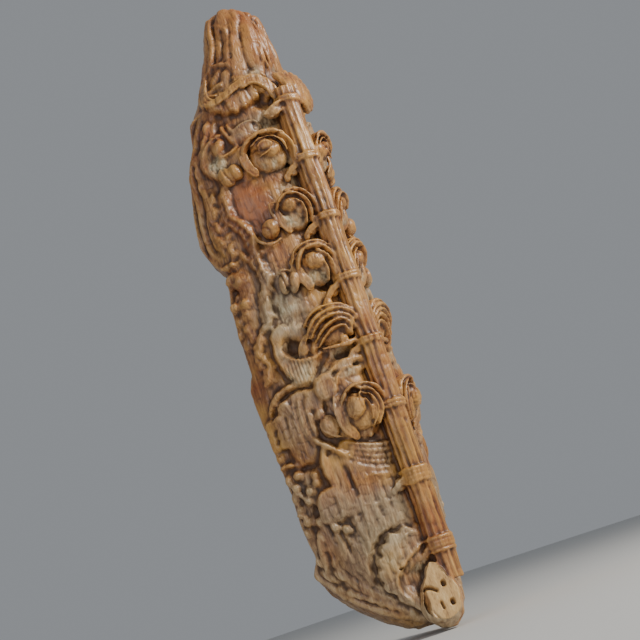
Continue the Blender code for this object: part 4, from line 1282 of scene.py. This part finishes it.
def paint(skin_data, angle, height, lift, flat):
    """Where the wood is worn bright and given a painted highlight, darkened in the hollows with painted
    shade, dusted pale or grey, as values from 0 to 1.
    """
    bends = []
    smoothed = skin_data.spots
    for rounds in BEND_ROUNDS:
        smoothed = skin_data.smooth(smoothed, rounds)
        bends.append(np.einsum("ij,ij->i", skin_data.spots - smoothed, skin_data.normals))
    fine, broad, wide = bends
    # hollow is painted shade: the skin is darkened where it bends in, at fine, broad and wide scales, as
    # occlusion would darken it
    hollow = step_up(-(fine * 2.3 + broad * 0.85 + wide * 0.45), 0.15, 2.3)
    hollow = skin_data.smooth(hollow, 2)
    # proud is rubbed wear and painted highlight: brighter where the skin bends out, and more so the higher it
    # stands off the log
    proud = step_up(fine * 1.6 + broad * 0.7 + wide * 0.2 + np.clip(lift, 0, 20) * 0.03, 0.25, 2.6)
    size = np.abs(angle)
    blotch = skin_data.noise((26.0, 26.0, 40.0), 31)
    speck = skin_data.noise((8.0, 8.0, 12.0), 32)
    dust = np.zeros(len(angle))
    for centre, across, up, amount in DUSTY:
        dust += amount * patch(size, height, centre, across, up)
    dust = np.clip(dust * (0.75 + 0.6 * speck + 0.4 * blotch), 0, 1) * (1 - 0.75 * proud)
    grey = np.exp(-((size - 36) / 34.0) ** 4) * step_up(-height, 335, 385)
    for centre, across, up, amount in GREYED:
        grey = np.maximum(grey, amount * patch(size, height, centre, across, up))
    grey = np.maximum(grey, 0.55 * step_up(-height, 290, 330) * step_up(size, 55, 62))
    grey *= 1 - 0.7 * patch(size, height, (26, -520), 56, 60)
    grey = np.clip(grey + 0.25 * blotch, 0, 1)
    stem_near = 1 - step_up(skin_data.from_stem(), 25, 33)
    grey *= 1 - 0.95 * stem_near
    dust *= 1 - 0.8 * stem_near
    proud *= 1 - 0.55 * step_up(height, 395, 440)
    raised = step_up(lift, 13, 23)
    dust *= 1 - 0.8 * raised
    grey *= 1 - 0.55 * raised * step_up(height, -215, -190)
    red = patch(size, height, (46, 150), 34, 54) * (1 - step_up(lift, 4, 8)) + 0.5 * step_up(height, 392, 440)
    return {"hollow": hollow, "proud": proud, "dust": dust, "grey": grey, "red": red, "sawn": flat}


# colours of the wood, and stops from its dark grain to its bright grain
GRAIN_STOPS = (0.36, 0.46, 0.55, 0.66)
WOOD = ((0.10, 0.040, 0.013), (0.31, 0.127, 0.036), (0.50, 0.240, 0.074), (0.76, 0.46, 0.18))
AGED = ((0.085, 0.052, 0.028), (0.29, 0.185, 0.098), (0.45, 0.315, 0.175), (0.74, 0.60, 0.38))
SAWN = ((0.38, 0.20, 0.07), (0.70, 0.43, 0.165), (0.90, 0.64, 0.30))
RAW = ((0.16, 0.085, 0.04), (0.50, 0.33, 0.18))
DUST = ((0.34, 0.27, 0.15), (0.76, 0.68, 0.45))
ROSY = (0.62, 0.30, 0.17)
HONEY = (0.74, 0.40, 0.075)
RED = (0.36, 0.115, 0.035)
# colours of rubbed wear and painted highlight on high places, on plain and on greyed wood
RUBBED_AND_HIGHLIGHT = (0.88, 0.48, 0.13)
RUBBED_GREY_AND_HIGHLIGHT = (0.78, 0.60, 0.34)
# painted shade, laid over the wood in the hollows
PAINTED_SHADE = (0.15, 0.095, 0.062)


class Shading:
    """A material and the few kinds of nodes that it is made of."""

    def __init__(self, name):
        self.material = bpy.data.materials.new(name)
        self.material.use_nodes = True
        self.nodes = self.material.node_tree.nodes
        self.shader = self.nodes["Principled BSDF"]
        self.coordinates = self.nodes.new("ShaderNodeTexCoord").outputs["Object"]

    def give(self, socket, given):
        """Sets a socket to a number or a colour, or links it."""
        if isinstance(given, (int, float)):
            socket.default_value = given
        elif isinstance(given, tuple):
            socket.default_value = (*given, 1)
        else:
            self.material.node_tree.links.new(given, socket)

    def attribute(self, name):
        node = self.nodes.new("ShaderNodeAttribute")
        node.attribute_name = name
        return node.outputs["Fac"]

    def value(self, kind, first, second, clamp=False):
        node = self.nodes.new("ShaderNodeMath")
        node.operation = kind
        node.use_clamp = clamp
        self.give(node.inputs[0], first)
        self.give(node.inputs[1], second)
        return node.outputs[0]

    def times(self, first, second):
        return self.value("MULTIPLY", first, second)

    def mixed(self, share, first, second, kind="MIX"):
        node = self.nodes.new("ShaderNodeMix")
        node.data_type = "RGBA"
        node.blend_type = kind
        for number, given in ((0, share), (6, first), (7, second)):
            self.give(node.inputs[number], given)
        return node.outputs[2]

    def noise(self, scale, stretch, detail=4.0, rough=0.55):
        mapping = self.nodes.new("ShaderNodeMapping")
        mapping.inputs["Scale"].default_value = stretch
        self.give(mapping.inputs["Vector"], self.coordinates)
        node = self.nodes.new("ShaderNodeTexNoise")
        for name, given in (("Scale", scale), ("Detail", detail), ("Roughness", rough),
                ("Vector", mapping.outputs[0])):
            self.give(node.inputs[name], given)
        return node.outputs["Fac"]

    def ramp(self, share, stops, colours, way="EASE"):
        node = self.nodes.new("ShaderNodeValToRGB")
        node.color_ramp.interpolation = way
        while len(node.color_ramp.elements) < len(stops):
            node.color_ramp.elements.new(0.5)
        for element, at, colour in zip(node.color_ramp.elements, stops, colours):
            element.position = at
            element.color = (*colour, 1)
        self.give(node.inputs[0], share)
        return node.outputs[0]

    def patches(self, noise, level, gain):
        """1 where a noise stands well above a level, and 0 below it."""
        above = self.value("SUBTRACT", noise, level, clamp=True)
        return self.value("MULTIPLY", above, gain, clamp=True)

    def finish(self, colour, rough, relief, strength, distance):
        """Gives the surface its colour, roughness and bumps."""
        bump = self.nodes.new("ShaderNodeBump")
        bump.inputs["Strength"].default_value = strength
        bump.inputs["Distance"].default_value = distance
        self.give(bump.inputs["Height"], relief)
        for name, given in (("Base Color", colour), ("Roughness", rough), ("Normal", bump.outputs[0])):
            self.give(self.shader.inputs[name], given)


def waxed_timber():
    """Waxed reddish-brown wood: upright grain, worn bright with a painted highlight high up, and darkened
    with painted shade and dusted in the hollows.
    """
    s = Shading("waxed timber")
    grain = s.noise(160, (1, 1, 0.05), 5, 0.6)
    streak = s.noise(60, (1, 1, 0.09), 4, 0.6)
    blotch = s.noise(14, (1, 1, 0.6), 3, 0.5)
    fine = s.noise(430, (1, 1, 0.22), 3, 0.6)
    golden = s.noise(21, (1, 1, 0.7), 3, 0.5)
    tone = s.value("ADD", s.times(grain, 0.38), s.times(streak, 0.34))
    tone = s.value("ADD", tone, s.times(fine, 0.28))
    wood = s.ramp(tone, GRAIN_STOPS, WOOD)
    wood = s.mixed(s.patches(blotch, 0.47, 5.0), wood, s.mixed(0.75, wood, ROSY, "MULTIPLY"))
    wood = s.mixed(s.patches(golden, 0.50, 4.5), wood, s.mixed(0.55, wood, HONEY))
    wood = s.mixed(s.times(s.attribute("red"), 0.75), wood, RED)
    aged = s.ramp(tone, GRAIN_STOPS, AGED)
    wood = s.mixed(s.times(s.attribute("grey"), 0.85), wood, aged)
    # painted highlight mixed with rubbed wear on the high places
    rubbed_and_highlight = s.mixed(s.attribute("grey"), s.mixed(0.42, wood, RUBBED_AND_HIGHLIGHT), s.mixed(0.38, aged, RUBBED_GREY_AND_HIGHLIGHT))
    wood = s.mixed(s.times(s.attribute("proud"), 0.8), wood, rubbed_and_highlight)
    dusted = s.ramp(s.noise(220, (1, 1, 0.4), 3), (0.38, 0.60), DUST)
    wood = s.mixed(s.times(s.attribute("dust"), 0.72), wood, dusted)
    sawn = s.ramp(tone, (0.38, 0.5, 0.64), SAWN)
    wood = s.mixed(s.times(s.attribute("sawn"), 0.85), wood, sawn)
    # painted shade: the wood is darkened in the hollows
    wood = s.mixed(s.times(s.attribute("hollow"), 0.92), wood, s.mixed(1.0, wood, PAINTED_SHADE, "MULTIPLY"))
    rough = s.value("ADD", s.times(grain, 0.28), 0.26)
    rough = s.value("ADD", rough, s.times(s.attribute("dust"), 0.3))
    rough = s.value("SUBTRACT", rough, s.times(s.attribute("proud"), 0.08))
    rough = s.value("ADD", rough, s.times(s.attribute("hollow"), 0.2), clamp=True)
    s.finish(wood, rough, tone, 0.8, 0.0024)
    for name, given in (("Specular IOR Level", 0.55), ("Coat Weight", 0.18), ("Coat Roughness", 0.28)):
        s.shader.inputs[name].default_value = given
    return s.material


def sawn_timber():
    """The back, sawn flat and left raw, with the marks of the saw across it."""
    s = Shading("sawn timber")
    grain = s.noise(90, (1, 1, 0.06), 6, 0.5)
    marks = s.nodes.new("ShaderNodeTexWave")
    marks.bands_direction = "Z"
    marks.inputs["Scale"].default_value = 60
    marks.inputs["Distortion"].default_value = 1.5
    s.give(marks.inputs["Vector"], s.coordinates)
    s.finish(s.ramp(grain, (0.3, 0.72), RAW, "LINEAR"), 0.82, marks.outputs["Fac"], 0.35, 0.001)
    return s.material


def cut_flat(block):
    """Cuts the block at the wall plane and closes the cut."""
    only_selected(block)
    bpy.ops.object.mode_set(mode="EDIT")
    bpy.ops.mesh.select_all(action="SELECT")
    bpy.ops.mesh.bisect(plane_co=(0, 0, 0), plane_no=(0, 1, 0), use_fill=True, clear_outer=True)
    bpy.ops.object.mode_set(mode="OBJECT")


def dress(data, materials):
    """Gives the carving its wax, the back and the cuts their raw wood, and the skin its kept directions."""
    kept = read(data.attributes["lie"].data, "vector", 3)
    facing = read(data.polygons, "normal", 3)
    sizes = read(data.polygons, "loop_total", kind=np.int64)
    at_wall = np.abs(read(data.polygons, "center", 3)[:, 1]) < 0.00005
    raw = (np.abs(facing[:, 1]) > 0.99) & at_wall | (sizes > MOST_CORNERS)
    data.materials.clear()
    for material in materials:
        data.materials.append(material)
    data.polygons.foreach_set("material_index", raw.astype(np.int32))
    data.polygons.foreach_set("use_smooth", np.ones(len(sizes), dtype=bool))
    normals = unit(kept[read(data.loops, "vertex_index", kind=np.int64)])
    owner = np.repeat(np.arange(len(sizes)), sizes)
    normals[raw[owner]] = facing[owner][raw[owner]]
    data.normals_split_custom_set(normals.tolist())
    data.attributes.remove(data.attributes["lie"])


def slice_piece(block, name, low, high, materials):
    """A copy of the block between two heights, closed at its cuts, which keeps the whole skin's normals."""
    piece = block.copy()
    piece.data = block.data.copy()
    piece.name = piece.data.name = name
    bpy.context.scene.collection.objects.link(piece)
    only_selected(piece)
    bpy.ops.object.mode_set(mode="EDIT")
    for height, way in ((low, -1), (high, 1)):
        if height is not None:
            bpy.ops.mesh.select_all(action="SELECT")
            bpy.ops.mesh.bisect(plane_co=(0, 0, height / 1000), plane_no=(0, 0, way), use_fill=True,
                    clear_outer=True)
    bpy.ops.object.mode_set(mode="OBJECT")
    dress(piece.data, materials)
    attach(piece, "root")
    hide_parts("carved_corbel")


def write_points(data, name, values, kind="FLOAT"):
    """Keeps one value or direction for each vertex, under a name."""
    layer = data.attributes.new(name, kind, "POINT")
    if kind == "FLOAT":
        layer.data.foreach_set("value", values.astype(np.float32))
    else:
        layer.data.foreach_set("vector", values.astype(np.float32).ravel())


def build():
    """Carves, weathers and paints the block, and cuts it into the six pieces."""
    block = carve()
    skin_data = Skin(block)
    angle, height, lift = relief(skin_data)
    flat = saw_nose(skin_data)
    skin_data.spots = within_box(skin_data.spots)
    block.data.vertices.foreach_set("co", (skin_data.spots / 1000).ravel())
    block.data.update()
    skin_data.normals = mesh_arrays(block.data)[2]
    for name, values in paint(skin_data, angle, height, lift, flat).items():
        write_points(block.data, name, values)
    write_points(block.data, "lie", skin_data.normals, "FLOAT_VECTOR")
    cut_flat(block)
    materials = (waxed_timber(), sawn_timber())
    levels = (None, *SLICES, None)
    for name, low, high in zip(PIECES, levels[:-1], levels[1:]):
        slice_piece(block, name, low, high, materials)
    bpy.data.objects.remove(block)


def camera():
    """The photograph's view."""
    turn, rise, roll = (math.radians(angle) for angle in (VIEW_TURN, VIEW_RISE, VIEW_ROLL))
    back = Vector((math.sin(turn) * math.cos(rise), -math.cos(turn) * math.cos(rise), math.sin(rise)))
    right = Vector((0, 0, 1)).cross(back).normalized()
    up = back.cross(right)
    side = right * math.cos(roll) + up * math.sin(roll)
    top = up * math.cos(roll) - right * math.sin(roll)
    data = bpy.data.cameras.new("camera")
    data.sensor_width = SENSOR
    data.lens = FOCAL_PIXELS / PHOTO_PIXELS * SENSOR
    data.clip_end = 50
    eye = bpy.data.objects.new("camera", data)
    bpy.context.scene.collection.objects.link(eye)
    stance = Matrix((side, top, back)).transposed().to_4x4()
    stance.translation = Vector(AIM) + back * DISTANCE + side * EYE_ASIDE - top * EYE_DROP
    eye.matrix_world = stance
    bpy.context.scene.camera = eye


def lamp(name, spot, aim, size, power, colour):
    """A round soft lamp that looks at a place."""
    data = bpy.data.lights.new(name, "AREA")
    data.shape = "DISK"
    data.size = size
    data.energy = power
    data.color = colour
    thing = bpy.data.objects.new(name, data)
    bpy.context.scene.collection.objects.link(thing)
    thing.location = spot
    thing.rotation_euler = (Vector(aim) - Vector(spot)).to_track_quat("-Z", "Y").to_euler()


def studio():
    """A plain pale floor at the foot, soft lamps and a pale grey surround."""
    bpy.ops.object.select_all(action="DESELECT")
    bpy.ops.mesh.primitive_plane_add(size=14, location=(0, 0, cad_box[0][2] - 0.002))
    floor = bpy.context.object
    floor.name = "floor"
    s = Shading("pale floor")
    s.give(s.shader.inputs["Base Color"], FLOOR_COLOUR)
    s.give(s.shader.inputs["Roughness"], 0.9)
    floor.data.materials.append(s.material)
    world = bpy.data.worlds.new("surround")
    bpy.context.scene.world = world
    world.use_nodes = True
    shade = world.node_tree.nodes["Background"]
    shade.inputs["Color"].default_value = (0.60, 0.63, 0.67, 1)
    shade.inputs["Strength"].default_value = 0.44
    lamp("key light", (0.95, -2.35, 1.45), (0, -0.1, 0.05), 0.75, 84, (1.0, 0.95, 0.86))
    lamp("fill light", (-2.4, -1.6, 0.6), (0, -0.1, 0), 1.8, 16, (0.92, 0.95, 1.0))


build()
camera()
studio()
